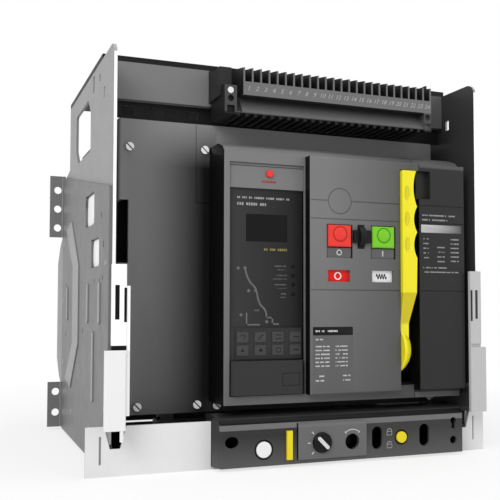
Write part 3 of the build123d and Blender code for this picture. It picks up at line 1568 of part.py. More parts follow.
flag_travel = 13.5
flag_sheet = 1.5
flag_lap = (1.0, 0.5)
flag_front = mech_front + cover_wall + flat_gap
for x, name in ((open_x, "status_flag"), (close_x, "charge_flag")):
    with BuildPart() as flag:
        flag_foot = flag_z - flag_height / 2 - flag_lap[1]
        flag_limits = (flag_foot, flag_foot + 2 * flag_travel + flag_lap[1])
        flag_y = (flag_front, flag_front + flag_sheet)
        box_between(about(x, flag_width / 2 + flag_lap[0]), flag_y, flag_limits)
    save(flag, name)
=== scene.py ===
import math

import bmesh
import bpy
import numpy as np
from mathutils import Matrix, Vector


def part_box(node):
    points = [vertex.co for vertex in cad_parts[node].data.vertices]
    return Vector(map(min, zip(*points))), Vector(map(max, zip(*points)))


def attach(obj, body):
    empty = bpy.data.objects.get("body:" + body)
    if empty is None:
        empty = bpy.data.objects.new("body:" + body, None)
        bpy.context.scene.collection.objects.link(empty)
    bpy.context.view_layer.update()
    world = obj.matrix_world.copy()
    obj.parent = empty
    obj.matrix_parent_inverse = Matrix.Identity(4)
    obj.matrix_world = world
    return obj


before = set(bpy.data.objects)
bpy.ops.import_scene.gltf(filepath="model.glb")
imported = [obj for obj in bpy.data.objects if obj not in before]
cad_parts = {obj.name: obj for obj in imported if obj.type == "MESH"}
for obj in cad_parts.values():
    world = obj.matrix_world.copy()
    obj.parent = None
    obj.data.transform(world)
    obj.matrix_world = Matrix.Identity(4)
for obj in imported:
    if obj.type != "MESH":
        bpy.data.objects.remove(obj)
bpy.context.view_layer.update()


# Camera
# The camera stands where the photograph's did: in front, to the left and a little below the middle.
# Solved from the straight edges of the cradle, in millimetres, degrees and pixels of a square picture.
MM = 0.001
PHOTO_PIXELS = 500
FOCAL_PIXELS = 788.4
SENSOR_MM = 36.0
PRINCIPAL = (247.0, 269.6)
CAMERA_MM = (-362.3, -969.5, 170.5)
YAW = math.radians(20.67)
PITCH = math.radians(2.57)
ROLL = math.radians(0.13)

forward = Vector((math.sin(YAW) * math.cos(PITCH), math.cos(YAW) * math.cos(PITCH), math.sin(PITCH)))
level_right = Vector((math.cos(YAW), -math.sin(YAW), 0))
level_up = level_right.cross(forward)
right = level_right * math.cos(ROLL) + level_up * math.sin(ROLL)
up = level_up * math.cos(ROLL) - level_right * math.sin(ROLL)
camera_data = bpy.data.cameras.new("camera")
camera_data.sensor_width = SENSOR_MM
camera_data.lens = FOCAL_PIXELS / PHOTO_PIXELS * SENSOR_MM
camera_data.shift_x = (PHOTO_PIXELS / 2 - PRINCIPAL[0]) / PHOTO_PIXELS
camera_data.shift_y = (PRINCIPAL[1] - PHOTO_PIXELS / 2) / PHOTO_PIXELS
camera_data.clip_end = 50
camera = bpy.data.objects.new("camera", camera_data)
bpy.context.scene.collection.objects.link(camera)
camera.matrix_world = Matrix(
    [(right[n], up[n], -forward[n], CAMERA_MM[n] * MM) for n in range(3)] + [(0, 0, 0, 1)]
)
bpy.context.scene.camera = camera
bpy.context.scene.view_settings.view_transform = "Standard"


# Cradle sheets
# Side plates and outer brackets are cut and folded from zinc-coated steel and riveted together.
# The base pan is the same sheet under a white coat. Front cut edges carry a painted highlight; painted shade
# darkens faces turned inwards.
class Socket:
    """Shader maths on one output: + - * with numbers or other sockets add Math nodes."""

    def __init__(self, tree, output):
        self.tree = tree
        self.output = output

    def math(self, operation, first, second=None, clamp=False):
        node = self.tree.nodes.new("ShaderNodeMath")
        node.operation = operation
        node.use_clamp = clamp
        for slot, value in enumerate((first, second)):
            if value is None:
                continue
            if isinstance(value, Socket):
                self.tree.links.new(value.output, node.inputs[slot])
            else:
                node.inputs[slot].default_value = value
        return Socket(self.tree, node.outputs[0])

    def __add__(self, other):
        return self.math("ADD", self, other)

    def __sub__(self, other):
        return self.math("SUBTRACT", self, other)

    def __rsub__(self, other):
        return self.math("SUBTRACT", other, self)

    def __mul__(self, other):
        return self.math("MULTIPLY", self, other)

    def either(self, other):
        """The larger of two masks."""
        return self.math("MAXIMUM", self, other)

    def fade(self, start, end):
        """0 at start, 1 at end and beyond, straight between, both in millimetres."""
        return self.math("MULTIPLY", self - start * MM, 1 / (end - start) / MM, clamp=True)

    def within(self, low, high, soft=0.1):
        """1 between two limits in millimetres, 0 outside them."""
        return self.fade(low - soft, low) * self.fade(high + soft, high)


class Finish:
    """One material: a Principled shader whose changing inputs come from object coordinates."""

    def __init__(self, name, rough, metal=0.0, coat=0.0, specular=0.15):
        self.material = bpy.data.materials.new(name)
        self.material.use_nodes = True
        self.tree = self.material.node_tree
        self.shader = self.tree.nodes["Principled BSDF"]
        self.shader.inputs["Roughness"].default_value = rough
        self.shader.inputs["Metallic"].default_value = metal
        self.shader.inputs["Coat Weight"].default_value = coat
        self.shader.inputs["Specular IOR Level"].default_value = specular
        coordinates = self.tree.nodes.new("ShaderNodeTexCoord")
        self.place = Socket(self.tree, coordinates.outputs["Object"])

    def node(self, kind, settings=None, output=0, **inputs):
        """Adds a node, sets its settings and its sockets (_ stands for a space), returns one output."""
        node = self.tree.nodes.new(kind)
        for key, value in (settings or {}).items():
            setattr(node, key, value)
        for key, value in inputs.items():
            self.fill(node.inputs[key.replace("_", " ")], value)
        return Socket(self.tree, node.outputs[output])

    def fill(self, socket, value):
        """Links a socket to another one, or sets its value; three numbers are a colour where it takes one."""
        if isinstance(value, Socket):
            self.tree.links.new(value.output, socket)
        elif socket.type == "RGBA":
            socket.default_value = (*value[:3], 1)
        else:
            socket.default_value = value

    def axes(self):
        """The three object coordinates by themselves, in metres."""
        split = self.node("ShaderNodeSeparateXYZ", Vector=self.place).output.node
        return [Socket(self.tree, output) for output in split.outputs]

    def noise(self, scale, detail=4.0, stretch=None):
        """Cloudy value between 0 and 1, on object coordinates stretched along each axis."""
        place = self.node("ShaderNodeMapping", Vector=self.place, Scale=stretch) if stretch else self.place
        return self.node("ShaderNodeTexNoise", Vector=place, Scale=scale, Detail=detail)

    def mix(self, factor, first, second):
        """Blend of two colours, each a colour or a socket."""
        node = self.tree.nodes.new("ShaderNodeMix")
        node.data_type = "RGBA"
        for slot, value in ((0, factor), (6, first), (7, second)):
            self.fill(node.inputs[slot], value)
        return Socket(self.tree, node.outputs[2])

    def layers(self, base, *coats):
        """Colours laid over one another: each coat is (where, colour)."""
        for where, colour in coats:
            base = self.mix(where, base, colour)
        return base

    def feed(self, **inputs):
        """Links or sets the shader's own sockets."""
        for key, value in inputs.items():
            self.fill(self.shader.inputs[key.replace("_", " ")], value)
        return self

    def bump(self, height, distance, strength=1.0):
        """Surface relief of a height value, the distance in metres."""
        relief = self.node("ShaderNodeBump", Distance=distance, Strength=strength, Height=height)
        self.tree.links.new(relief.output, self.shader.inputs["Normal"])
        return self


def srgb(level, green=None, blue=None):
    """Linear colour of display values from 0 to 255; one value gives a grey."""
    values = (level, level if green is None else green, level if blue is None else blue)
    return tuple(((v / 255 + 0.055) / 1.055) ** 2.4 if v > 10 else v / 255 / 12.92 for v in values)


def shade(colour, factor):
    """A colour made darker or lighter by a factor."""
    return tuple(min(1.0, c * factor) for c in colour)


def finish_nodes(material, *names):
    """Gives CAD nodes a material in every slot."""
    for name in names:
        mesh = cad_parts[name].data
        mesh.materials.clear()
        mesh.materials.append(material)


def box_mm(node):
    """Lowest and highest corners of a CAD node at rest, in millimetres."""
    low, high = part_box(node)
    return [c / MM for c in low], [c / MM for c in high]


def galvanised(name, colour, rough=0.45, metal=0.15, tone=0.07, edges=()):
    """Zinc coated sheet: soft spangle and faint rolling lines; edges are (axis, low, high, colour) bands laid
    over it, carrying painted highlights and painted shade as well as lighter pressings.
    """
    made = Finish(name, rough, metal)
    spangle = made.node("ShaderNodeTexVoronoi", Vector=made.place, Scale=110.0)
    rolled = made.noise(18.0, 6.0, (1.0, 1.0, 9.0))
    cloud = spangle * 0.35 + rolled * 0.65
    axes = made.axes()
    bands = [(axes[axis].within(low, high), band) for axis, low, high, band in edges]
    base = made.layers(made.mix(cloud, shade(colour, 1 - tone), shade(colour, 1 + tone)), *bands)
    made.feed(Base_Color=base, Roughness=made.noise(45.0) * 0.2 + (rough - 0.1))
    return made.bump(rolled, 0.00005, 0.4).material


ZINC = srgb(150)
BRACKET_ZINC = srgb(120)
PRESSED_ZINC = srgb(158)
CUT_EDGE_HIGHLIGHT = srgb(252)
INNER_FACE_SHADE = srgb(58)
PAN_WHITE = srgb(224)
PAN_INSIDE_SHADE = srgb(62)
plate_low = box_mm("left_side_plate")[0]
right_inner = box_mm("right_side_plate")[0][0]
pan_front = box_mm("base_pan")[0][1]
# Painted highlight along the front cut edge; painted shade on the right plate's inner face and inside the
# pan.
cut_edge_highlight = (1, plate_low[1] - 1, plate_low[1] + 0.4, CUT_EDGE_HIGHLIGHT)
inner_face_shade = (0, right_inner - 12, right_inner + 0.3, INNER_FACE_SHADE)
pressed_face = plate_low[0] - 3.9
pressings = [(0, pressed_face - 0.9, pressed_face, PRESSED_ZINC),
             (0, -pressed_face, 0.9 - pressed_face, PRESSED_ZINC)]
pan_inside_shade = (1, pan_front + 2.6, pan_front + 500, PAN_INSIDE_SHADE)
zinc = galvanised("zinc_sheet", ZINC, edges=[cut_edge_highlight])
finish_nodes(zinc, "left_side_plate")
finish_nodes(galvanised("right_zinc", ZINC, edges=[inner_face_shade, cut_edge_highlight]), "right_side_plate")
bracket_zinc = galvanised("bracket_zinc", BRACKET_ZINC, edges=pressings)
finish_nodes(bracket_zinc, "left_mounting_bracket", "right_mounting_bracket")
finish_nodes(galvanised("pan_coat", PAN_WHITE, 0.5, 0.0, 0.03, [pan_inside_shade]), "base_pan")


# Bracket rivets and pierced slots
# Flat-headed rivets hold each bracket sheet to its side plate, between small slots drawn as dark plates of
# painted shade.
# White liners close the two grip holes, behind which the side plate stands.
def piece(name, shapes, body, material, crease=32.0):
    """One object from a list of (points, faces) in millimetres, with merged doubles and outward faces."""
    points, faces, start = [], [], 0
    for shape_points, shape_faces in shapes:
        points.append(shape_points)
        faces.append(shape_faces + start)
        start += len(shape_points)
    mesh = bpy.data.meshes.new(name)
    mesh.from_pydata((np.concatenate(points) * MM).tolist(), [], np.concatenate(faces).tolist())
    work = bmesh.new()
    work.from_mesh(mesh)
    bmesh.ops.remove_doubles(work, verts=work.verts, dist=1e-6)
    bmesh.ops.recalc_face_normals(work, faces=work.faces)
    work.to_mesh(mesh)
    work.free()
    mesh.shade_smooth()
    mesh.set_sharp_from_angle(angle=math.radians(crease))
    mesh.materials.append(material)
    made = bpy.data.objects.new(name, mesh)
    bpy.context.scene.collection.objects.link(made)
    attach(made, body)
    return made


def quads(grid, wrap_columns=True):
    """Points grid[row, column] joined to neighbours as quads; wrapped, the last column joins the first."""
    rows, columns = grid.shape[:2]
    row = np.arange(rows - 1)[:, None]
    column = np.arange(columns if wrap_columns else columns - 1)[None, :]
    next_column = (column + 1) % columns
    corners = (row * columns + column, row * columns + next_column,
               (row + 1) * columns + next_column, (row + 1) * columns + column)
    return grid.reshape(-1, 3), np.stack(np.broadcast_arrays(*corners), -1).reshape(-1, 4)


def turned(centre, profile, sides=28, direction=(0, -1, 0)):
    """Surface of revolution: point = centre + along * direction + radius * (cos a, sin a) across it."""
    profile = np.array(profile, float)
    axis = np.array(direction, float)
    across = np.roll(np.abs(axis), 1)
    other = np.cross(axis, across)
    angle = np.linspace(0, 2 * math.pi, sides, endpoint=False)
    ring = np.cos(angle)[:, None] * across + np.sin(angle)[:, None] * other
    return quads(np.array(centre) + profile[:, 1, None, None] * axis + profile[:, 0, None, None] * ring)


def outline(x, z, corner, steps=5):
    """Rounded rectangle: point = centre of the quarter's corner + corner radius * direction."""
    angle = np.concatenate([np.linspace(q, q + 1, steps) for q in range(4)]) * math.pi / 2
    quarter = np.repeat(np.arange(4), steps)
    sign_x = np.where((quarter == 0) | (quarter == 3), 1, -1)
    sign_z = np.where(quarter < 2, 1, -1)
    half_x, half_z = (x[1] - x[0]) / 2 - corner, (z[1] - z[0]) / 2 - corner
    ring_x = (x[0] + x[1]) / 2 + sign_x * half_x + corner * np.cos(angle)
    ring_z = (z[0] + z[1]) / 2 + sign_z * half_z + corner * np.sin(angle)
    return np.stack([ring_x, ring_z], -1)


def plate(x, z, y_front, y_back, corner=1.0, edge=0.2):
    """Raised plate on the XZ plane: its outline carried forward, the front edge a quarter circle."""
    middle = np.array([(x[0] + x[1]) / 2, (z[0] + z[1]) / 2])
    ring = outline(x, z, corner)
    turn = np.linspace(0, math.pi / 2, 4)
    inset = np.concatenate([[0], edge * (1 - np.cos(turn))])
    level = np.concatenate([[y_back], y_front + edge * (1 - np.sin(turn))])
    size = np.array([x[1] - x[0], z[1] - z[0]]) / 2
    shrink = 1 - inset[:, None] / size
    rings = middle + (ring - middle) * shrink[:, None]
    centre = np.broadcast_to(middle, (1, *ring.shape))
    flat = np.concatenate([centre, rings, centre])
    depth = np.concatenate([[y_back], level, [y_front]])
    depth = np.broadcast_to(depth[:, None], flat.shape[:2])
    return quads(np.stack([flat[..., 0], depth, flat[..., 1]], -1))


def around(centre, width):
    """Limits of a span by its centre and width."""
    return centre - width / 2, centre + width / 2


def turned_to_side(shape, side, x_face):
    """Swings a front-plane shape to face sideways: (x, y, z) becomes (face - side * depth, x, z)."""
    points, faces = shape
    return np.stack([x_face + side * -points[:, 1], points[:, 0], points[:, 2]], -1), faces


def two_tone(name, low, high, scale=200.0, rough=0.5):
    """Cloudy mix of two near tones: ink, paint, glass or shadow."""
    made = Finish(name, rough)
    return made.feed(Base_Color=made.mix(made.noise(scale), low, high)).material


BRACKET_SHEET = 3.0
RIVET_HEAD = [(0, 1.1), (2.2, 1.0), (3.4, 0.6), (3.8, 0.0), (3.8, -0.4), (0, -0.4)]
RIVET_YZ = [(-186, 66), (-186, 212), (118, 92), (118, 176), (118, 252), (-96, 36), (40, 36)]
SLOT_YZ = [(-172, 232, 2.2, 7), (-160, 263, 2.2, 6), (-60, 285, 2, 7), (-150, 196, 2, 4), (-168, 198, 2, 5),
           (-120, 196, 2, 4), (30, 205, 2, 5), (-44, 140, 2, 5), (96, 196, 2, 6), (96, 132, 2, 6)]
LINER_YZ = [(plate_low[1] + 119.5, 276.0, 53.0, 34.0), (plate_low[1] + 83.5, 226.0, 45.0, 29.0)]
liner_white = two_tone("liner_white", srgb(246), srgb(252), 40.0)
# Dark plates of painted shade stand in the pierced slots.
bracket_slot_shade = two_tone("bracket_slot_shade", srgb(40), srgb(56), 60.0, 0.8)
for side, name in ((-1, "left"), (1, "right")):
    outer = side * abs(plate_low[0])
    face = outer + side * BRACKET_SHEET
    heads = [turned((face, y, z), RIVET_HEAD, direction=(side, 0, 0)) for y, z in RIVET_YZ]
    piece(f"{name}_bracket_rivets", heads, "cradle", zinc)
    slots = [plate(around(y, w), around(z, h), -0.1, 0.3, w * 0.45, 0.05) for y, z, w, h in SLOT_YZ]
    slots = [turned_to_side(slot, side, face) for slot in slots]
    piece(f"{name}_bracket_slots", slots, "cradle", bracket_slot_shade)
    liners = [plate(around(y, w), around(z, h), -0.6, 0.3, 9, 0.2) for y, z, w, h in LINER_YZ]
    liners = [turned_to_side(liner, side, outer) for liner in liners]
    piece(f"{name}_grip_liners", liners, "cradle", liner_white)


# Steel working parts
# Rails, guides, screw, carriage, shafts and mechanism plates are bare steel, turned or rolled.
# The terminal screws and the body's slotted screws are bright plated, with painted shade in their slots.
STEEL = srgb(165, 166, 170)
steel = galvanised("steel", STEEL, 0.3, 0.9, 0.1)
screw_front = box_mm("body_screws")[0][1]
# Painted shade in the screw slots: their floors and inner walls are nearly black.
screw_slot_shade = (1, screw_front + 1.1, screw_front + 9, srgb(6))
finish_nodes(
    steel, "left_pull_rail", "right_pull_rail", "rail_guides", "racking_screw_bearing",
    "racking_carriage", "mechanism_plates", "main_shaft", "main_shaft_bearings", "charging_shaft",
    "closing_spring", "contact_pivot_pins", "arc_splitter_plates",
)
finish_nodes(galvanised("bright_plating", srgb(225), 0.3, 0.6, 0.05), "terminal_screws")
finish_nodes(galvanised("screw_bright", srgb(248), 0.35, 0.0, 0.03, [screw_slot_shade]), "body_screws")


# Mouldings in black and grey
# Glass-filled plastic with a fine eroded grain: rear wall, arc shield, chutes, handle well and transformers
# in black, the breaker's body and the top panel in grey, the shoes in nylon.
def satin(made, tone, rough, grain=0.00005, fine=1400.0):
    """Spark-eroded surface: the given tone, gloss that drifts by 0.14 and a fine grain."""
    made.feed(Base_Color=tone, Roughness=made.noise(60.0) * 0.14 + (rough - 0.07))
    return made.bump(made.noise(fine, 2.0), grain, 0.5).material


def moulded(name, colour, rough=0.42, grain=0.00006, tone=0.06):
    """Moulded plastic of one colour, which drifts by a small share up and down."""
    made = Finish(name, rough)
    drift = made.mix(made.noise(9.0), shade(colour, 1 - tone), shade(colour, 1 + tone))
    return satin(made, drift, rough, grain)


BLACK = srgb(20)
DEEP_BLACK = srgb(9)
BODY_GREY = srgb(74)
NYLON = srgb(214, 212, 200)
WALL_LIT, WALL_SHADE, WALL_LOW, WALL_FOOT_SHADE = srgb(140), srgb(6), srgb(40), srgb(38)
HEAD_LEFT, HEAD_RIGHT = srgb(134), srgb(128)
black = moulded("black_moulding", BLACK, 0.5)
deep_black = moulded("deep_black", DEEP_BLACK, 0.6)
finish_nodes(black, "rear_insulating_wall", "arc_shield", "arc_chutes", "current_transformers", "drive_links",
             "button_padlock_slide")
# The racking guide plate is made black so that the holes in front of it show as painted shade.
finish_nodes(deep_black, "handle_well", "racking_guide_plate", "racking_screw")
finish_nodes(moulded("body_grey", BODY_GREY, 0.5), "breaker_base")
finish_nodes(moulded("nylon", NYLON), "slide_shoes")

# The body wall carries painted light and shade: lit at the left, painted shade deepening to near black on the
# right under its top band, a little darker towards the bottom and painted shade at the foot; the top band is
# painted lighter, falling slightly to the right.
wall = Finish("body_wall", 0.5)
x, y, z = wall.axes()
head = z.fade(322, 368).either(x.fade(-100, -84) * z.fade(340, 348))
wall_painted_light = wall.layers(
    wall.mix(x.fade(-196, -100), WALL_LIT, WALL_SHADE),
    (z.fade(230, 60) * 0.12, WALL_LOW),
    (head, wall.mix(x.fade(-120, 160), HEAD_LEFT, HEAD_RIGHT)),
    (z.fade(72, 64) * x.fade(-110, -90), WALL_FOOT_SHADE),
)
finish_nodes(satin(wall, wall_painted_light, 0.5), "breaker_frame")

# The top panel carries painted light and shade: lighter at the left and falling to the right, with painted
# shadow behind the terminal row and painted shade below its step.
TOP_PANEL_LIT, TOP_PANEL_SHADE, TOP_PANEL_ROW_SHADOW, TOP_PANEL_STEP_SHADE = srgb(120), srgb(90), srgb(18), srgb(22)
STEP_Z = 391.0
panel = Finish("top_panel", 0.5)
x, y, z = panel.axes()
top_panel_painted_light = panel.layers(
    panel.mix(x.fade(-120, 160), TOP_PANEL_LIT, TOP_PANEL_SHADE),
    (x.fade(-97, -84) * x.fade(190, 175), TOP_PANEL_ROW_SHADOW),
    (z.fade(STEP_Z + 0.4, STEP_Z), TOP_PANEL_STEP_SHADE),
)
finish_nodes(satin(panel, top_panel_painted_light, 0.5), "top_front_panel")


# Copper
# Busbar terminals, jaws, blades and contact arms are bare copper, a little browned; the contact tips are
# silver and the release coils are wound with lacquered wire.
COPPER = srgb(186, 116, 84)
SILVER = srgb(214, 214, 218)
copper = Finish("copper", 0.32, 1.0)
browned = copper.noise(24.0)
copper.feed(Base_Color=copper.mix(browned, COPPER, shade(COPPER, 0.6)), Roughness=browned * 0.3 + 0.2)
wound = Finish("coil_wire", 0.35, 0.8)
turns = wound.node("ShaderNodeTexWave", {"bands_direction": "Z"}, Vector=wound.place, Scale=260.0)
wound.feed(Base_Color=wound.mix(turns, shade(COPPER, 0.5), COPPER)).bump(turns, 0.0003)
finish_nodes(copper.material, "busbar_terminals", "jaw_contacts", "upper_blades", "lower_blades",
             "moving_contacts")
finish_nodes(wound.material, "release_coils")
finish_nodes(galvanised("silver", SILVER, 0.25, 0.95, 0.1), "fixed_contacts")


# Rear sill
# A folded black crosspiece under the rear wall, with a flange at each end against the side plates; it
# closes the low gap behind the breaker. One bent profile with two stiffening beads, carried across.
def folded(profile, x_from, x_to, steps, beads):
    """Sheet profile of (y, z) carried along X; each bead adds a bulge exp(-((z - centre) / half)^2) in Y.
    A fan to its mean closes each end: drawn in a render, but left out by the export, because each of its
    faces counts the mean twice."""
    profile = np.array(profile, float)
    y = profile[:, 0] + sum(rise * np.exp(-((profile[:, 1] - z) / half) ** 2) for z, half, rise in beads)
    x = np.linspace(x_from, x_to, steps)[:, None]
    points, faces = quads(np.stack(np.broadcast_arrays(x, y, profile[:, 1]), -1))
    rim = np.arange(len(profile))
    ends = [rim[::-1], rim + len(points) - len(profile)]
    means = [np.full(len(profile), len(points) + n) for n in range(2)]
    fans = [np.stack([end, np.roll(end, -1), mean, mean], -1) for end, mean in zip(ends, means)]
    return np.concatenate([points, [points[end].mean(0) for end in ends]]), np.concatenate([faces, *fans])


def raised(centres, sizes, y_front, y_back):
    """Small upright blocks: unit corners * size + centre for all of them at once, between two depths."""
    corner = np.stack(np.meshgrid((-0.5, 0.5), (0, 1), (-0.5, 0.5), indexing="ij"), -1).reshape(8, 3)
    centres, sizes = np.array(centres, float), np.array(sizes, float)
    across = centres[:, None] + corner[None, :, ::2] * sizes[:, None]
    depth = np.broadcast_to(y_front + corner[:, 1] * (y_back - y_front), across.shape[:2])
    points = np.stack([across[..., 0], depth, across[..., 1]], -1)
    sides = np.array([(0, 1, 3, 2), (4, 6, 7, 5), (0, 4, 5, 1), (2, 3, 7, 6), (0, 2, 6, 4), (1, 5, 7, 3)])
    return points.reshape(-1, 3), (sides + 8 * np.arange(len(centres))[:, None, None]).reshape(-1, 4)


SILL_SHEET = 1.5
SILL_BEADS = [(18, 3, -1), (40, 3, -1)]
FLANGE_DEPTH = 14.0
rear_wall_low = box_mm("rear_insulating_wall")[0]
sill_y = rear_wall_low[1] - 0.3
sill_z = np.linspace(3.5, max(rear_wall_low[2] + 4.0, 58.0), 24)
sill_front = np.stack([np.full(24, sill_y - SILL_SHEET), sill_z], -1)
sill_back = np.stack([np.full(24, sill_y), sill_z[::-1]], -1)
sill = folded(np.concatenate([sill_front, sill_back]), 0.5 - right_inner, right_inner - 0.5, 12, SILL_BEADS)
flange_centres = [(side * (right_inner - 1.3), (sill_z[0] + sill_z[-1]) / 2) for side in (-1, 1)]
flange_sizes = [(SILL_SHEET, sill_z[-1] - sill_z[0])] * 2
flanges = raised(flange_centres, flange_sizes, sill_y - FLANGE_DEPTH, sill_y - SILL_SHEET + 0.1)
piece("rear_sill", [sill, flanges], "cradle", black)


# Terminal row
# A black moulding with thin fins between its cells, each cell with a plain number printed on the strip.
# Front faces of fins, cheeks and marking strip carry a painted highlight; the cells carry painted shade,
# darkest at the top.
def lettering(words, size, y_front, thick=0.12, slant=0.0):
    """Printed figures on a front face: outline text filled, carried back by thick, each at its own (x, z)."""
    shapes = []
    for text, x, z in words:
        curve = bpy.data.curves.new("figure", "FONT")
        curve.body = text
        curve.size = size
        curve.align_x, curve.align_y = "CENTER", "CENTER"
        curve.resolution_u = 2
        curve.extrude = thick / 2
        curve.shear = slant
        holder = bpy.data.objects.new("figure", curve)
        bpy.context.scene.collection.objects.link(holder)
        filled = bpy.data.meshes.new_from_object(holder)
        filled.transform(Matrix(((1, 0, 0, x), (0, 0, -1, y_front + thick / 2), (0, 1, 0, z), (0, 0, 0, 1))))
        bpy.data.objects.remove(holder)
        triangulated = bmesh.new()
        triangulated.from_mesh(filled)
        bmesh.ops.triangulate(triangulated, faces=triangulated.faces)
        triangulated.to_mesh(filled)
        triangulated.free()
        points = np.empty(len(filled.vertices) * 3)
        filled.vertices.foreach_get("co", points)
        corners = np.empty(len(filled.loops), int)
        filled.loops.foreach_get("vertex_index", corners)
        shapes.append((points.reshape(-1, 3), corners.reshape(-1, 3)))
    return shapes


CELL_COUNT = 24
CELL_PITCH = 9.7
CELL_SHADE, CELL_LIT, CHEEK_EDGE_HIGHLIGHT, FIN_EDGE_HIGHLIGHT = srgb(26), srgb(92), srgb(68), srgb(108)
CHEEK_WIDTH = 20.0
COMB_TOP = 375.2
row_low, row_high = box_mm("secondary_terminal_block")
row_front = row_low[1]
fins_left = row_low[0] + CHEEK_WIDTH
cells_right = row_high[0] - 0.9
strip_low, strip_high = row_high[2] - 36.0, row_high[2] - 21.5
row = Finish("terminal_row", 0.5)
x, y, z = row.axes()
front_edge = y.fade(row_front + 1.1, row_front + 0.6)
above_comb = z.fade(COMB_TOP, COMB_TOP + 0.4)
between_cheeks = x.fade(fins_left, fins_left + 0.3)
row_light_and_shade = row.layers(
    row.mix(z.fade(399, 378) * above_comb * between_cheeks, CELL_SHADE, CELL_LIT),
    (front_edge * above_comb, CHEEK_EDGE_HIGHLIGHT),
    (front_edge * z.fade(strip_low - 0.4, strip_low) * between_cheeks, FIN_EDGE_HIGHLIGHT),
)
finish_nodes(satin(row, row_light_and_shade, 0.5, 0.00006), "secondary_terminal_block")
finish_nodes(moulded("row_bracket", srgb(42), 0.5), "terminal_block_bracket")

strip_middle = (strip_low + strip_high) / 2
cell_words = [(str(n + 1), cells_right - (CELL_COUNT - n - 0.5) * CELL_PITCH, strip_middle)
              for n in range(CELL_COUNT)]
printed = two_tone("printed_grey", srgb(158), srgb(174), 300.0)
figures = lettering(cell_words, 7.0, row_front - 0.1, 0.14, 0.35)
piece("terminal_figures", figures, "cradle", printed)


# Rail ends
# White powder-coated castings that front the pull-out rails: a foot block and a slotted tongue over it.
# Fillers close the cast slots and raise the left block to its joint line.
# The slots and that joint are painted shadow, and the right casting is the same coat painted darker as shade.
RAIL_WHITE = srgb(232)
TONGUE_WHITE = srgb(255)
RIGHT_RAIL_SHADE = srgb(188)
LEFT_SHADOW, RIGHT_SHADOW = srgb(0), srgb(50)
LEFT_SLOT_SHADOWS = [((-211.9, -207.6), (156.1, 189.7)), ((-203.0, -199.9), (153.6, 187.1))]
RIGHT_SLOT_SHADOWS = [((200.5, 202.7), (152.6, 188.2)), ((206.5, 209.7), (155.2, 188.2))]
JOINT_Z = (126.3, 130.8)
TONGUE_EDGE = -200.1
CAST_SLOTS_X = [(201.9, 205.3), (209.9, 213.3)]
CAST_SLOTS_Z = (139.8, 176.2)
BLOCK_DROP = 87.5
rail_low, rail_high = box_mm("left_rail_end")
block_top = rail_high[2] - BLOCK_DROP


def rail_coat(name, foot, tongue, shadows, shadow):
    """Powder coat, one tone on the foot block and one above; shadows are ((x from, to), (z from, to))."""
    made = Finish(name, 0.4)
    x, y, z = made.axes()
    dark = [(x.within(*across) * z.within(*rise), shadow) for across, rise in shadows]
    tone = made.layers(made.mix(z.fade(JOINT_Z[0] - 0.2, JOINT_Z[0]), foot, tongue), *dark)
    made.feed(Base_Color=tone, Roughness=made.noise(60.0) * 0.1 + 0.35)
    return made.material


left_shadows = LEFT_SLOT_SHADOWS + [((rail_low[0] - 1, TONGUE_EDGE), JOINT_Z)]
left_rail = rail_coat("rail_coat", RAIL_WHITE, TONGUE_WHITE, left_shadows, LEFT_SHADOW)
right_rail = rail_coat("rail_shaded", RIGHT_RAIL_SHADE, RIGHT_RAIL_SHADE, RIGHT_SLOT_SHADOWS, RIGHT_SHADOW)
filler_y = (rail_low[1] + 0.02, rail_high[1] - 0.1)
block_cap = plate((rail_low[0] + 0.05, TONGUE_EDGE), (block_top - 0.5, JOINT_Z[0]), *filler_y, 0.3, 0.1)
for side, name, coat in ((-1, "left", left_rail), (1, "right", right_rail)):
    finish_nodes(coat, f"{name}_rail_end")
    slots_x = [sorted((side * a, side * b)) for a, b in CAST_SLOTS_X]
    fillers = [plate(across, CAST_SLOTS_Z, *filler_y, 0.2, 0.05) for across in slots_x]
    fillers += [block_cap] if side < 0 else []
    piece(f"{name}_rail_fillers", fillers, f"{name}_rail", coat)


# Vent gauze
# Fine dark gauze set flush in the four vents of the top panel, woven wire over the arc chutes.
# A sheet whose height is a product of two sines of its own place.
def woven(x_range, z_range, y_front, y_back, wires, rise):
    """Gauze: y = front + rise * (1 - |sin(wires x)| * |sin(wires z)|), closed by a flat back."""
    u, v = np.meshgrid(*(np.linspace(0, 1, 8 * count + 1) for count in wires), indexing="ij")
    weave = np.abs(np.sin(math.pi * wires[0] * u)) * np.abs(np.sin(math.pi * wires[1] * v))
    edge = (u == 0) | (u == 1) | (v == 0) | (v == 1)
    x = x_range[0] + u * (x_range[1] - x_range[0])
    z = z_range[0] + v * (z_range[1] - z_range[0])
    front = np.stack([x, np.where(edge, y_back, y_front + rise * (1 - weave)), z], -1)
    back = np.stack([x, np.full_like(x, y_back), z], -1)
    front_points, faces = quads(front, wrap_columns=False)
    back_points, back_faces = quads(back, wrap_columns=False)
    back_faces = back_faces[:, ::-1] + len(front_points)
    return np.concatenate([front_points, back_points]), np.concatenate([faces, back_faces])


VENT_FIRST, VENT_PITCH, VENT_COUNT = 27.0, 24.0, 4
GAUZE_WIDTH, VENT_Z = 13.6, (377.0, 386.3)
GAUZE_WIRES = (7, 5)
panel_back = box_mm("top_front_panel")[1][1]
gauze_y = (panel_back - 0.8, panel_back - 0.1)
gauze = two_tone("vent_gauze", srgb(26), srgb(36), 400.0, 0.6)
vent_x = [VENT_FIRST - right_inner + VENT_PITCH * n for n in range(VENT_COUNT)]
vents = [woven(around(x, GAUZE_WIDTH), VENT_Z, *gauze_y, GAUZE_WIRES, 0.4) for x in vent_x]
piece("vent_gauze", vents, "cradle", gauze)


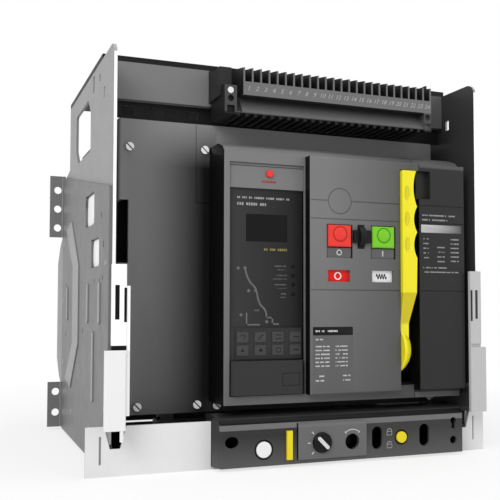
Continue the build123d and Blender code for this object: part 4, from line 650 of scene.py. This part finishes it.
# Covers
# The face cover and the mechanism cover are satin grey mouldings with painted light and shade: deeper in tone
# to the right and below, black in their side gaps, and darker right of the handle slot down to the lower lip,
# which is painted lighter.
COVER_GREY, COVER_SHADE, COVER_RIGHT_SHADE = srgb(118), srgb(82), srgb(42)
SHADOW = srgb(8)
HANDLE_SLOT_X = 136.8
HANDLE_SLOT_TOP = 329
LIP_TOP = 71.6


def cover(name, left_edge):
    """Satin grey moulding with painted light and shade, placed from its left edge to beyond the handle slot.
    """
    made = Finish(name, 0.42)
    x, y, z = made.axes()
    right_of_slot = x.fade(HANDLE_SLOT_X, HANDLE_SLOT_X + 0.2)
    tone = made.layers(
        made.mix(x.fade(20, 128), COVER_GREY, COVER_SHADE),
        (z.fade(250, 70) * 0.55, shade(COVER_SHADE, 0.8)),
        (right_of_slot * z.fade(HANDLE_SLOT_TOP, HANDLE_SLOT_TOP - 2), COVER_RIGHT_SHADE),
        (right_of_slot * z.fade(LIP_TOP, LIP_TOP - 0.2), shade(COVER_SHADE, 1.2)),
        (x.within(left_edge - 2, left_edge + 0.3), SHADOW),
        (x.within(HANDLE_SLOT_X - 0.4, HANDLE_SLOT_X + 0.4), SHADOW),
    )
    return satin(made, tone, 0.42)


mech_left, mech_front = box_mm("mechanism_cover")[0][:2]
finish_nodes(cover("face_grey", box_mm("face_cover")[0][0]), "face_cover")
finish_nodes(cover("cover_grey", mech_left), "mechanism_cover")


# Printing on the covers
# Screen-printed labels: a rating table at the right, a data plate at the lower left and a silver strip,
# with rows of plain dashes where a real plate has words.
def dashes(rows, y_front, seed, thick=0.1):
    """Rows (x from, x to, z, height) of small blocks in uneven groups, where a real plate has words."""
    random = np.random.default_rng(seed)
    centres, sizes = [], []
    for x_from, x_to, z, height in rows:
        pitch = height * 0.82
        x = np.arange(x_from + pitch / 2, x_to - pitch / 2, pitch)
        group = np.cumsum(random.random(len(x)) < 0.2)
        keep = np.append(group[1:] == group[:-1], True)
        width = random.uniform(0.5, 0.85, len(x)) * pitch
        tall = random.uniform(0.75, 1.0, len(x)) * height
        centres.append(np.stack([x, np.full(len(x), z)], -1)[keep])
        sizes.append(np.stack([width, tall], -1)[keep])
    return raised(np.concatenate(centres), np.concatenate(sizes), y_front, y_front + thick + 0.1)


def lines(x_from, x_to, z_top, pitch, count, height):
    """Rows of equal length below one another, for dashes."""
    return [(x_from, x_to, z_top - pitch * n, height) for n in range(count)]


label_grey = two_tone("label_grey", srgb(90), srgb(96), 40.0, 0.45)
print_white = two_tone("print_white", srgb(196), srgb(216))
print_faint = two_tone("print_faint", srgb(150), srgb(166))
print_black = two_tone("print_black", srgb(10), srgb(18), rough=0.45)

LABEL_X, LABEL_Z, HEADER_Z = (3.3, 51.3), (77.0, 147.0), 138.0
label_face = mech_front - 0.25
label_y = (label_face, mech_front + 0.2)
label_plate = plate(LABEL_X, (LABEL_Z[0], HEADER_Z), *label_y, 0.8, 0.1)
header_plate = plate(LABEL_X, (HEADER_Z, LABEL_Z[1]), *label_y, 0.8, 0.1)
label_rows = [(6.0, 16.0, 133.5, 1.6)] + lines(6.0, 24.0, 126.0, 4.2, 6, 1.6)
label_rows += lines(6.0, 17.5, 94.2, 4.8, 2, 1.8) + lines(38.8, 49.0, 94.2, 4.8, 2, 1.6)
label_rows += lines(30.0, 46.0, 126.0, 4.2, 6, 1.4)
title_row = [(6.0, 34.0, 142.5, 2.2)]
piece("data_plate", [label_plate], "breaker", label_grey)
piece("data_plate_header", [header_plate], "breaker", print_black)
piece("data_plate_print", [dashes(label_rows, label_face - 0.1, 3)], "breaker", print_white)
piece("data_plate_title", [dashes(title_row, label_face - 0.1, 5)], "breaker", print_white)

STRIP_X, STRIP_Z = (139.4, 193.6), (253.6, 262.6)
# The silver strip's tone is a painted reflection: bright at the left, falling dark to the right.
strip = Finish("silver_strip", 0.3, 0.7)
strip.feed(Base_Color=strip.mix(strip.axes()[0].fade(*STRIP_X), srgb(186), srgb(70)))
strip.bump(strip.noise(30.0, 6.0, (0.3, 1.0, 14.0)), 0.00003, 0.5)
piece("rating_strip", [plate(STRIP_X, STRIP_Z, *label_y, 0.8, 0.1)], "breaker", strip.material)
table_face = mech_front - 0.12
table_rows = lines(142.0, 150.0, 246.5, 5.4, 5, 1.5) + lines(161.0, 172.0, 237.0, 5.4, 4, 1.7)
table_rows += lines(179.0, 191.0, 246.5, 5.0, 6, 1.7)
table_rows += [(142.0, 174.0, 213.5, 1.6), (142.0, 190.0, 208.5, 1.6)]
head_rows = [(141.0, 186.0, 273.5, 1.8), (141.0, 176.0, 268.3, 1.8)]
piece("rating_table", [dashes(table_rows, table_face, 11)], "breaker", print_faint)
piece("rating_title", [dashes(head_rows, table_face, 7)], "breaker", print_faint)


# Trip unit
# A dark plug-in moulding with a lighter top strip, a dark glass display in a thin frame, four lamp lenses,
# a printed tripping curve, eight keys and a plain lower cover.
TRIP_GREY, TRIP_SHADE, TRIP_LINE, TRIP_DARK = srgb(52), srgb(26), srgb(60), srgb(50)
TOP_STRIP_Z, TOP_LINE_Z = 295.3, (319.0, 319.8)
trip = Finish("trip_grey", 0.42)
x, y, z = trip.axes()
# The trip unit's face is painted darker to the right, as shade beside the proud mechanism cover.
trip_tone = trip.layers(
    trip.mix(x.fade(-80, 0), TRIP_GREY, TRIP_SHADE),
    (z.fade(TOP_STRIP_Z, TOP_STRIP_Z + 0.3), COVER_GREY),
    (z.within(*TOP_LINE_Z), TRIP_LINE),
)
finish_nodes(satin(trip, trip_tone, 0.43), "trip_unit")
finish_nodes(moulded("trip_dark", TRIP_DARK, 0.4), "trip_unit_cover")
KEYPAD_GREY, KEY_GREY, KEYPAD_FACE = srgb(48), srgb(66), -187.0
keypad = Finish("keypad", 0.45)
key_faces = keypad.axes()[1].fade(KEYPAD_FACE, KEYPAD_FACE - 0.2)
finish_nodes(satin(keypad, keypad.mix(key_faces, KEYPAD_GREY, KEY_GREY), 0.45, fine=900.0), "trip_keypad")
glass = Finish("display_glass", 0.15)
glass_tone = glass.mix(glass.noise(14.0), srgb(8), srgb(14))
glass.feed(Base_Color=glass_tone, Roughness=glass.noise(20.0) * 0.06 + 0.12)
finish_nodes(glass.material, "trip_display")


def ribbon(path, width, y_front, thick=0.1):
    """Flat band along a path of (x, z): path + or - half a width across its direction, front and back."""
    path = np.array(path, float)
    along = np.gradient(path, axis=0)
    along /= np.linalg.norm(along, axis=1)[:, None]
    across = np.stack([-along[:, 1], along[:, 0]], -1) * width / 2
    y_back = y_front + thick + 0.1
    flat = np.stack([path + across, path - across, path - across, path + across], 1)
    depth = np.broadcast_to([y_front, y_front, y_back, y_back], flat.shape[:2])
    points, faces = quads(np.stack([flat[..., 0], depth, flat[..., 1]], -1))
    last = len(points) - 4
    return points, np.concatenate([faces, [[0, 1, 2, 3], [last + 3, last + 2, last + 1, last]]])


def smooth_path(knots, steps=9):
    """Curve through (x, z) knots: Catmull-Rom blend of each four neighbours."""
    k = np.array(knots, float)
    k = np.concatenate([[2 * k[0] - k[1]], k, [2 * k[-1] - k[-2]]])
    a, b, c, d = (k[n:len(k) - 3 + n, None] for n in range(4))
    t = np.linspace(0, 1, steps, endpoint=False)[:, None]
    cubic = 2 * b + (c - a) * t + (2 * a - 5 * b + 4 * c - d) * t**2 + (3 * b - a - 3 * c + d) * t**3
    return np.concatenate([0.5 * cubic.reshape(-1, 2), k[-2:-1]])


def square_path(corners, width, y_front):
    """Straight bands along each side of a path with square corners."""
    half, y_back = width / 2, y_front + 0.2
    spans = [[sorted(ends) for ends in zip(*side)] for side in zip(corners[:-1], corners[1:])]
    return [plate((x[0] - half, x[1] + half), (z[0] - half, z[1] + half), y_front, y_back, width * 0.2, 0.04)
            for x, z in spans]


def hoop(x, z, y_face, outer, inner, sides, depth=0.12):
    """Flat printed ring."""
    profile = [(outer, depth), (outer, -0.1), (inner, -0.1), (inner, depth), (outer, depth)]
    return turned((x, y_face, z), profile, sides)


TRIP_FACE = -184.5
PRINT_FACE = TRIP_FACE - 0.1
DOT_PROFILE = [(0, 0.12), (1.4, 0.1), (1.7, 0.0), (1.7, -0.1), (0, -0.1)]
DOTS = [(-76.0, 209.6), (-68.4, 209.9), (-64.2, 185.7), (-56.2, 186.0), (-72.8, 160.0), (-43.4, 152.6)]
CURVE = [(-68.4, 210.5), (-67.0, 204.0), (-63.0, 195.5), (-57.0, 189.2), (-55.0, 184.0), (-53.5, 177.0),
         (-50.5, 170.5), (-46.0, 166.0), (-44.0, 161.0), (-43.8, 156.6)]
CURVE_STEPS = [(-43.8, 157.0), (-36.8, 157.0), (-36.8, 150.0), (-30.0, 150.0)]
CURVE_AXES = [(-66.5, 161.5), (-66.5, 149.5), (-52.0, 149.5)]
curve_print = [ribbon(smooth_path(CURVE), 1.9, PRINT_FACE)] + square_path(CURVE_STEPS, 1.7, PRINT_FACE)
curve_print += square_path(CURVE_AXES, 1.6, PRINT_FACE)
curve_print += [turned((x, TRIP_FACE, z), DOT_PROFILE, 14) for x, z in DOTS]
curve_print += [dashes([(-57.5, -51.0, 164.8, 2.0)], PRINT_FACE, 3)]
curve_grey = two_tone("curve_grey", srgb(92), srgb(108))
piece("trip_curve", curve_print, "breaker", curve_grey)

LAMP_PRINT_RIGHT = -20.0
lamp_rows = [(-34.5, 212.5, 1.5), (-36.0, 202.5, 1.5), (-34.5, 192.5, 1.5), (-27.0, 182.6, 1.5),
             (-31.0, 208.6, 1.1), (-36.5, 198.6, 1.1), (-31.0, 188.6, 1.1), (-28.0, 178.8, 1.1)]
lamp_rows = [(x_from, LAMP_PRINT_RIGHT, z, height) for x_from, z, height in lamp_rows]
title_rows = [(-78.0, -16.0, 285.4, 2.4), (-78.0, -43.0, 278.6, 3.2)]
piece("trip_lamp_print", [dashes(lamp_rows, PRINT_FACE, 9)], "breaker", curve_grey)
piece("trip_title_print", [dashes(title_rows, PRINT_FACE, 21)], "breaker", print_faint)
gold = two_tone("print_gold", srgb(122, 116, 66), srgb(140, 132, 80))
piece("trip_rating_print", [dashes([(-47.0, -17.5, 230.2, 2.8)], PRINT_FACE, 4)], "breaker", gold)
red_print = two_tone("print_red", srgb(150, 30, 26), srgb(168, 38, 32))
reset_print = dashes([(-50.5, -32.5, 303.0, 2.6)], TRIP_FACE - 2.6, 6)
piece("trip_reset_print", [reset_print], "breaker", red_print)

LAMP_X, LAMP_Z = -12.6, (212.5, 202.5, 192.5, 182.5)
LENS_PROFILE = [(0, 0.9), (0.8, 0.8), (1.4, 0.45), (1.75, -0.3), (1.75, -0.9), (0, -0.9)]
lenses = [turned((LAMP_X, TRIP_FACE, z), LENS_PROFILE, 18) for z in LAMP_Z]
piece("trip_lamps", lenses, "breaker", two_tone("lamp_lens", srgb(14), srgb(24), 300.0, 0.12))

KEY_PITCH = 20.6
KEY_FIGURE = [(0, 0.1), (2.4, 0.1), (2.4, -0.1), (0, -0.1)]
key_low, key_high = box_mm("trip_keypad")
key_face = key_low[1]
mark_face = key_face - 0.1
a, b, c, d = (key_low[0] + 8.05 + KEY_PITCH * n for n in range(4))
top, foot = key_high[2] - 9.5, key_high[2] - 23.5
back_arrow = smooth_path([(a - 2.8, top + 1.0), (a, top + 2.6), (a + 2.8, top + 1.0), (a + 1.5, top - 2.4)])
key_marks = [ribbon(back_arrow, 0.8, mark_face)]
key_marks += [ribbon([(b - 2.6, top - 2.6), (b, top), (b + 2.6, top + 2.6)], 0.9, mark_face)]
for x, z in ((c, top + 2), (c, top - 2), (d, top)):
    key_marks += square_path([(x - 3, z), (x + 3, z)], 0.9, mark_face)
key_marks += [turned((x, key_face, foot), KEY_FIGURE, sides) for x, sides in ((a, 3), (b, 4))]
key_marks += [hoop(c, foot, key_face, 3.0, 2.2, 20, 0.1)]
key_marks += square_path([(d - 2, foot), (d + 2, foot)], 1.2, mark_face)
key_print = two_tone("key_print", srgb(22), srgb(30))
piece("key_symbols", key_marks, "breaker", key_print)
FLAP_FRAME = [(-28.5, 85.0), (-9.0, 85.0), (-9.0, 98.0), (-28.5, 98.0), (-28.5, 85.0)]
flap_face = box_mm("trip_unit_cover")[0][1] - 0.08
piece("flap_frame", square_path(FLAP_FRAME, 0.7, flap_face), "breaker", key_print)


# Buttons and flags
# Glossy coloured mouldings with a shallow dome in a round rim painted darker as shade, each in a well of
# painted black shade over a plain label.
# The printed symbols are the plain O and I, and a coil for the charged spring.
GLOSS, FINE = 0.3, 0.00002
WHITE = srgb(238)
red = moulded("red", srgb(228, 62, 54), GLOSS, FINE, 0.03)
green = moulded("green", srgb(118, 196, 44), GLOSS, FINE, 0.03)
white = moulded("white", WHITE, GLOSS, FINE, 0.02)
red_rim_shade = moulded("red_rim_shade", srgb(176, 40, 36), 0.35, FINE, 0.03)
green_rim_shade = moulded("green_rim_shade", srgb(74, 140, 26), 0.35, FINE, 0.03)
finish_nodes(red, "open_button", "trip_reset_button")
finish_nodes(moulded("flag_red", srgb(224, 32, 28), GLOSS, FINE, 0.03), "status_flag")
finish_nodes(green, "close_button")
finish_nodes(white, "charge_flag", "racking_release_button")

DOME_RADIUS, DOME_RISE = 7.2, 1.6
quarter = np.linspace(0, math.pi / 2, 8)
DOME = [(0, -0.2), *zip(DOME_RADIUS * np.cos(quarter), DOME_RISE * np.sin(quarter)), (0, DOME_RISE)]
RIM = [(8.8, -0.2), (8.6, 0.25), (7.7, 0.25), (7.3, -0.1), (8.8, -0.2)]
WELL_GAP = 0.3
WELL_LEFT, WELL_RIGHT, WELL_TOP, WELL_FOOT = 0.9, 2.6, 0.9, 12.2
LABEL_WIDTH, LABEL_DROP = 28.4, (11.3, 1.2)
SYMBOL_DROP = 6.2


def well(low, high):
    """Four black bars of painted shade round a button: left, right, over it and between it and its label."""
    left, right, top, foot = low[0] - WELL_LEFT, high[0] + WELL_RIGHT, high[2] + WELL_TOP, low[2] - WELL_FOOT
    inner_left, inner_right, inner_top = low[0] - WELL_GAP, high[0] + WELL_GAP, high[2] + WELL_GAP
    middle, upright, width = (low[0] + high[0]) / 2, (top + foot) / 2, high[0] - low[0] + 1
    centres = [((left + inner_left) / 2, upright), ((right + inner_right) / 2, upright),
               (middle, (top + inner_top) / 2), (middle, low[2] - 0.75)]
    sizes = [(inner_left - left, top - foot), (right - inner_right, top - foot), (width, top - inner_top),
             (width, 0.9)]
    return raised(centres, sizes, mech_front - 0.12, mech_front + 0.3)


for node, colour, dark, slot in (("open_button", red, red_rim_shade, "red_plastic"),
                                 ("close_button", green, green_rim_shade, "green_plastic")):
    low, high = box_mm(node)
    x, z = (low[0] + high[0]) / 2, (low[2] + high[2]) / 2 + 2.0
    piece(f"{node}_dome", [turned((x, low[1], z), DOME, 40)], node, colour)
    piece(f"{node}_rim", [turned((x, low[1], z), RIM, 40)], node, dark)
    piece(f"{node}_well", [well(low, high)], "breaker", deep_black)
    label_z = (low[2] - LABEL_DROP[0], low[2] - LABEL_DROP[1])
    label = plate(around(x, LABEL_WIDTH), label_z, mech_front - 0.2, mech_front + 0.6, 0.8, 0.1)
    piece(f"{node}_label", [label], "breaker", label_grey)
    symbol_z = low[2] - SYMBOL_DROP
    circle = hoop(x, symbol_z, mech_front - 0.2, 3.2, 2.3, 32)
    stroke = plate(around(x, 1.1), around(symbol_z, 6.2), mech_front - 0.32, mech_front, 0.2, 0.05)
    symbol = circle if node == "open_button" else stroke
    piece(f"{node}_symbol", [symbol], "breaker", print_white)

FLAG_Z = 202.5
STATUS_X, CHARGE_X = 34.8, 89.1
COIL_HALF, COIL_RISE = 6.5, 2.6
flag_face = box_mm("status_flag")[0][1]
flag_y = (flag_face - 0.12, flag_face + 0.1)
off_mark = hoop(STATUS_X, FLAG_Z, flag_face, 4.3, 3.1, 32)
on_mark = plate(around(STATUS_X, 1.6), (FLAG_Z + 9.5, FLAG_Z + 17.5), *flag_y, 0.2, 0.05)
piece("status_flag_print", [off_mark, on_mark], "status_flag", white)
coil_x = np.linspace(-COIL_HALF, COIL_HALF, 90)
coil_z = FLAG_Z + COIL_RISE * np.sin(coil_x / COIL_HALF * 4 * math.pi)
coil_mark = ribbon(np.stack([CHARGE_X + coil_x, coil_z], -1), 1.1, flag_y[0])
free_mark = plate(around(CHARGE_X, 12.0), (FLAG_Z + 12.8, FLAG_Z + 14.2), *flag_y, 0.3, 0.05)
piece("charge_flag_print", [coil_mark, free_mark], "charge_flag", print_black)


# Charging handle
# One glossy yellow moulding; its grip has a soft oval dimple beside each finger trough, painted darker as
# shade, and the shank between grip and bulge is painted a deeper yellow as shade.
YELLOW, SHANK_SHADE_YELLOW, DIMPLE_SHADE_YELLOW = srgb(240, 228, 24), srgb(206, 190, 12), srgb(196, 184, 10)
DIMPLE_X, DIMPLE_HALF = 118.6, (3.2, 8.5)
TROUGH_Z = (296.5, 267.5, 238.5)
handle = Finish("yellow_handle", 0.22, coat=0.1, specular=0.3)
x, y, z = handle.axes()
across = (x - DIMPLE_X * MM) * (1 / DIMPLE_HALF[0] / MM)
troughs = [(z - trough * MM) * (1 / DIMPLE_HALF[1] / MM) for trough in TROUGH_Z]
first, second, third = (1 - ((across * across + along * along) * MM).fade(0.5, 1.2) for along in troughs)
dimples = first + second + third
handle_tone = handle.layers(
    handle.mix(handle.noise(12.0), YELLOW, shade(YELLOW, 0.93)),
    (z.fade(186, 184) * z.fade(148, 152), SHANK_SHADE_YELLOW),
    (dimples * 0.5, DIMPLE_SHADE_YELLOW),
)
handle.feed(Base_Color=handle_tone, Roughness=handle.noise(40.0) * 0.12 + 0.18)
handle.bump(dimples * -1, 0.0012, 0.9)
finish_nodes(handle.material, "charging_handle")
yellow = moulded("yellow", srgb(232, 212, 42), GLOSS, FINE, 0.03)
finish_nodes(yellow, "racking_reset_button", "padlock_tab")


# Racking panel
# Dark grey moulding under the breaker with painted light and shade: a lip painted lighter as lit, painted
# shadow along its upper edge and painted shade at its left end. The raised field carries the dial with three
# ticks and the crank hole with a turning arc; small padlocks mark the slots.
PANEL_GREY, LIP_LIGHT, PANEL_LOW = srgb(104), srgb(110), srgb(92)
PANEL_DARK_LEFT, PANEL_DARK_RIGHT = srgb(50), srgb(58)
UPPER_SHADOW, LEFT_END_SHADE = srgb(12), srgb(16)
LIP_Z = (41.2, 46.9)
LIP_LEFT = -101.4
housing_left = box_mm("racking_housing")[0][0]
housing = Finish("panel_grey", 0.42)
x, y, z = housing.axes()
in_front = y.fade(-197.5, -198.5)
housing_light_and_shade = housing.layers(
    housing.mix(x.fade(-20, 60), PANEL_DARK_LEFT, PANEL_DARK_RIGHT),
    (z.fade(34, 4) * 0.8, PANEL_LOW),
    (y.fade(-202.0, -202.3), PANEL_GREY),
    (z.within(*LIP_Z) * in_front, LIP_LIGHT),
    (z.fade(LIP_Z[1], LIP_Z[1] + 0.3) * in_front, UPPER_SHADOW),
    (x.within(housing_left - 2, LIP_LEFT) * in_front, LEFT_END_SHADE),
    (x.within(housing_left - 2, housing_left + 0.3), SHADOW),
)
finish_nodes(satin(housing, housing_light_and_shade, 0.42), "racking_housing")
dial = Finish("dial", 0.4)
pointer = dial.axes()[1].fade(-206.6, -206.8)
finish_nodes(satin(dial, dial.mix(pointer, srgb(16), srgb(214)), 0.42), "position_dial")
PANEL_FACE, FIELD_FACE = -201.5, -203.0
FIELD_LEFT = -14.4
DIAL, CRANK = (13.0, 24.0), (49.5, 23.0)


def arc_path(centre, radius, first, last, steps=24):
    """Part of a circle in the XZ plane, angles in degrees from +X towards +Z."""
    angle = np.radians(np.linspace(first, last, steps))
    return np.stack([centre[0] + radius * np.cos(angle), centre[1] + radius * np.sin(angle)], -1)


def tick(centre, angle, radius, reach, width):
    """Short radial stroke across a circle."""
    direction = np.array([math.cos(math.radians(angle)), math.sin(math.radians(angle))])
    path = [centre + direction * r for r in (radius - reach, radius, radius + reach)]
    return ribbon(path, width, FIELD_FACE - 0.1)


def padlock(x, z, first):
    """Square body 6 by 4 mm with a shackle, an arc of 3 mm radius from the given angle to 180 degrees."""
    body = [(x - 3.0, z), (x + 3.0, z), (x + 3.0, z + 4.0), (x - 3.0, z + 4.0), (x - 3.0, z)]
    shackle = ribbon(arc_path((x, z + 4.0), 3.0, first, 180), 0.8, PANEL_FACE - 0.1)
    return [shackle] + square_path(body, 0.7, PANEL_FACE - 0.1)


marks = [tick(DIAL, angle, 15.0, 1.8, 1.0) for angle in (135, 180, 225)]
marks += [ribbon(arc_path(CRANK, 13.0, 50, 130), 0.8, FIELD_FACE - 0.1)]
marks += [tick(CRANK, angle, 13.0, 1.4, 0.9) for angle in (50, 130)]
piece("racking_print", marks, "cradle", print_white)
seats = []
for node in ("racking_release_button", "racking_reset_button"):
    low, high = box_mm(node)
    radius = (high[0] - low[0]) / 2 + 0.6
    x, z = (low[0] + high[0]) / 2, (low[2] + high[2]) / 2
    seats.append(hoop(x, z, PANEL_FACE, radius + 1.5, radius, 40, 0.1))
piece("button_seats", seats, "cradle", deep_black)
# A strip of painted shadow along the raised field's left step.
step_shadow = plate((FIELD_LEFT - 1.5, FIELD_LEFT), (7.0, 46.0), PANEL_FACE - 0.1, PANEL_FACE + 0.2, 0.3, 0.04)
piece("panel_step_shadow", [step_shadow], "cradle", deep_black)
locks = padlock(96.5, 27.0, 0) + padlock(96.5, 13.0, 30)
piece("racking_symbols", locks, "cradle", print_faint)


# Studio
# Pale floor that meets a white backdrop, a large soft lamp above left, a top lamp and a weak fill.
# The floor takes the object's shadow; farther off and in the backdrop the camera and glossy rays see white.
FLOOR = 9.0
WHITE_BACKDROP = (1, 1, 1, 1)


def seen_rays(tree):
    """1 for camera, glossy and transmitted rays, 0 for the light that falls on the object."""
    rays = tree.nodes.new("ShaderNodeLightPath").outputs
    camera_ray, glossy_ray, clear_ray = (
        Socket(tree, rays[name]) for name in ("Is Camera Ray", "Is Glossy Ray", "Is Transmission Ray")
    )
    return camera_ray.either(glossy_ray).either(clear_ray)


def blended(tree, factor, first, second, last):
    """Mix Shader of two shader outputs, linked to the last node of a tree."""
    blend = tree.nodes.new("ShaderNodeMixShader")
    for slot, output in enumerate((factor.output, first, second)):
        tree.links.new(output, blend.inputs[slot])
    tree.links.new(blend.outputs[0], tree.nodes[last].inputs[0])


floor_mesh = bpy.data.meshes.new("floor")
floor_corners = [(-FLOOR, -FLOOR, 0), (FLOOR, -FLOOR, 0), (FLOOR, FLOOR, 0), (-FLOOR, FLOOR, 0)]
floor_mesh.from_pydata(floor_corners, [], [(0, 1, 2, 3)])
floor = bpy.data.objects.new("floor", floor_mesh)
bpy.context.scene.collection.objects.link(floor)
floor_finish = Finish("floor", 0.95, specular=0.0)
floor_finish.feed(Base_Color=(0.95, 0.95, 0.95))
length = floor_finish.node("ShaderNodeVectorMath", {"operation": "LENGTH"}, 1, Vector=floor_finish.place)
away = length.fade(350, 850) * 0.3 + 0.7
glow = floor_finish.node("ShaderNodeEmission", Color=WHITE_BACKDROP, Strength=1.0)
seen = seen_rays(floor_finish.tree) * away
blended(floor_finish.tree, seen, floor_finish.shader.outputs[0], glow.output, "Material Output")
floor_mesh.materials.append(floor_finish.material)

world = bpy.data.worlds.new("studio")
bpy.context.scene.world = world
world.use_nodes = True
sky = world.node_tree
daylight = sky.nodes["Background"]
daylight.inputs["Color"].default_value = WHITE_BACKDROP
daylight.inputs["Strength"].default_value = 0.45
backdrop = sky.nodes.new("ShaderNodeBackground")
backdrop.inputs["Color"].default_value = WHITE_BACKDROP
backdrop.inputs["Strength"].default_value = 1.0
blended(sky, seen_rays(sky), daylight.outputs[0], backdrop.outputs[0], "World Output")


def studio_lamp(name, place, aim, size, power):
    """A square soft lamp that faces a point."""
    data = bpy.data.lights.new(name, "AREA")
    data.size = size
    data.energy = power
    light = bpy.data.objects.new(name, data)
    light.location = place
    light.rotation_euler = (Vector(aim) - Vector(place)).to_track_quat("-Z", "Y").to_euler()
    bpy.context.scene.collection.objects.link(light)


studio_lamp("key", (-1.6, -1.7, 1.6), (0, 0, 0.2), 1.4, 34)
studio_lamp("top", (0.2, -0.3, 2.2), (0, 0, 0.3), 1.6, 16)
studio_lamp("fill", (1.8, -1.4, 0.8), (0, 0, 0.2), 1.6, 8)
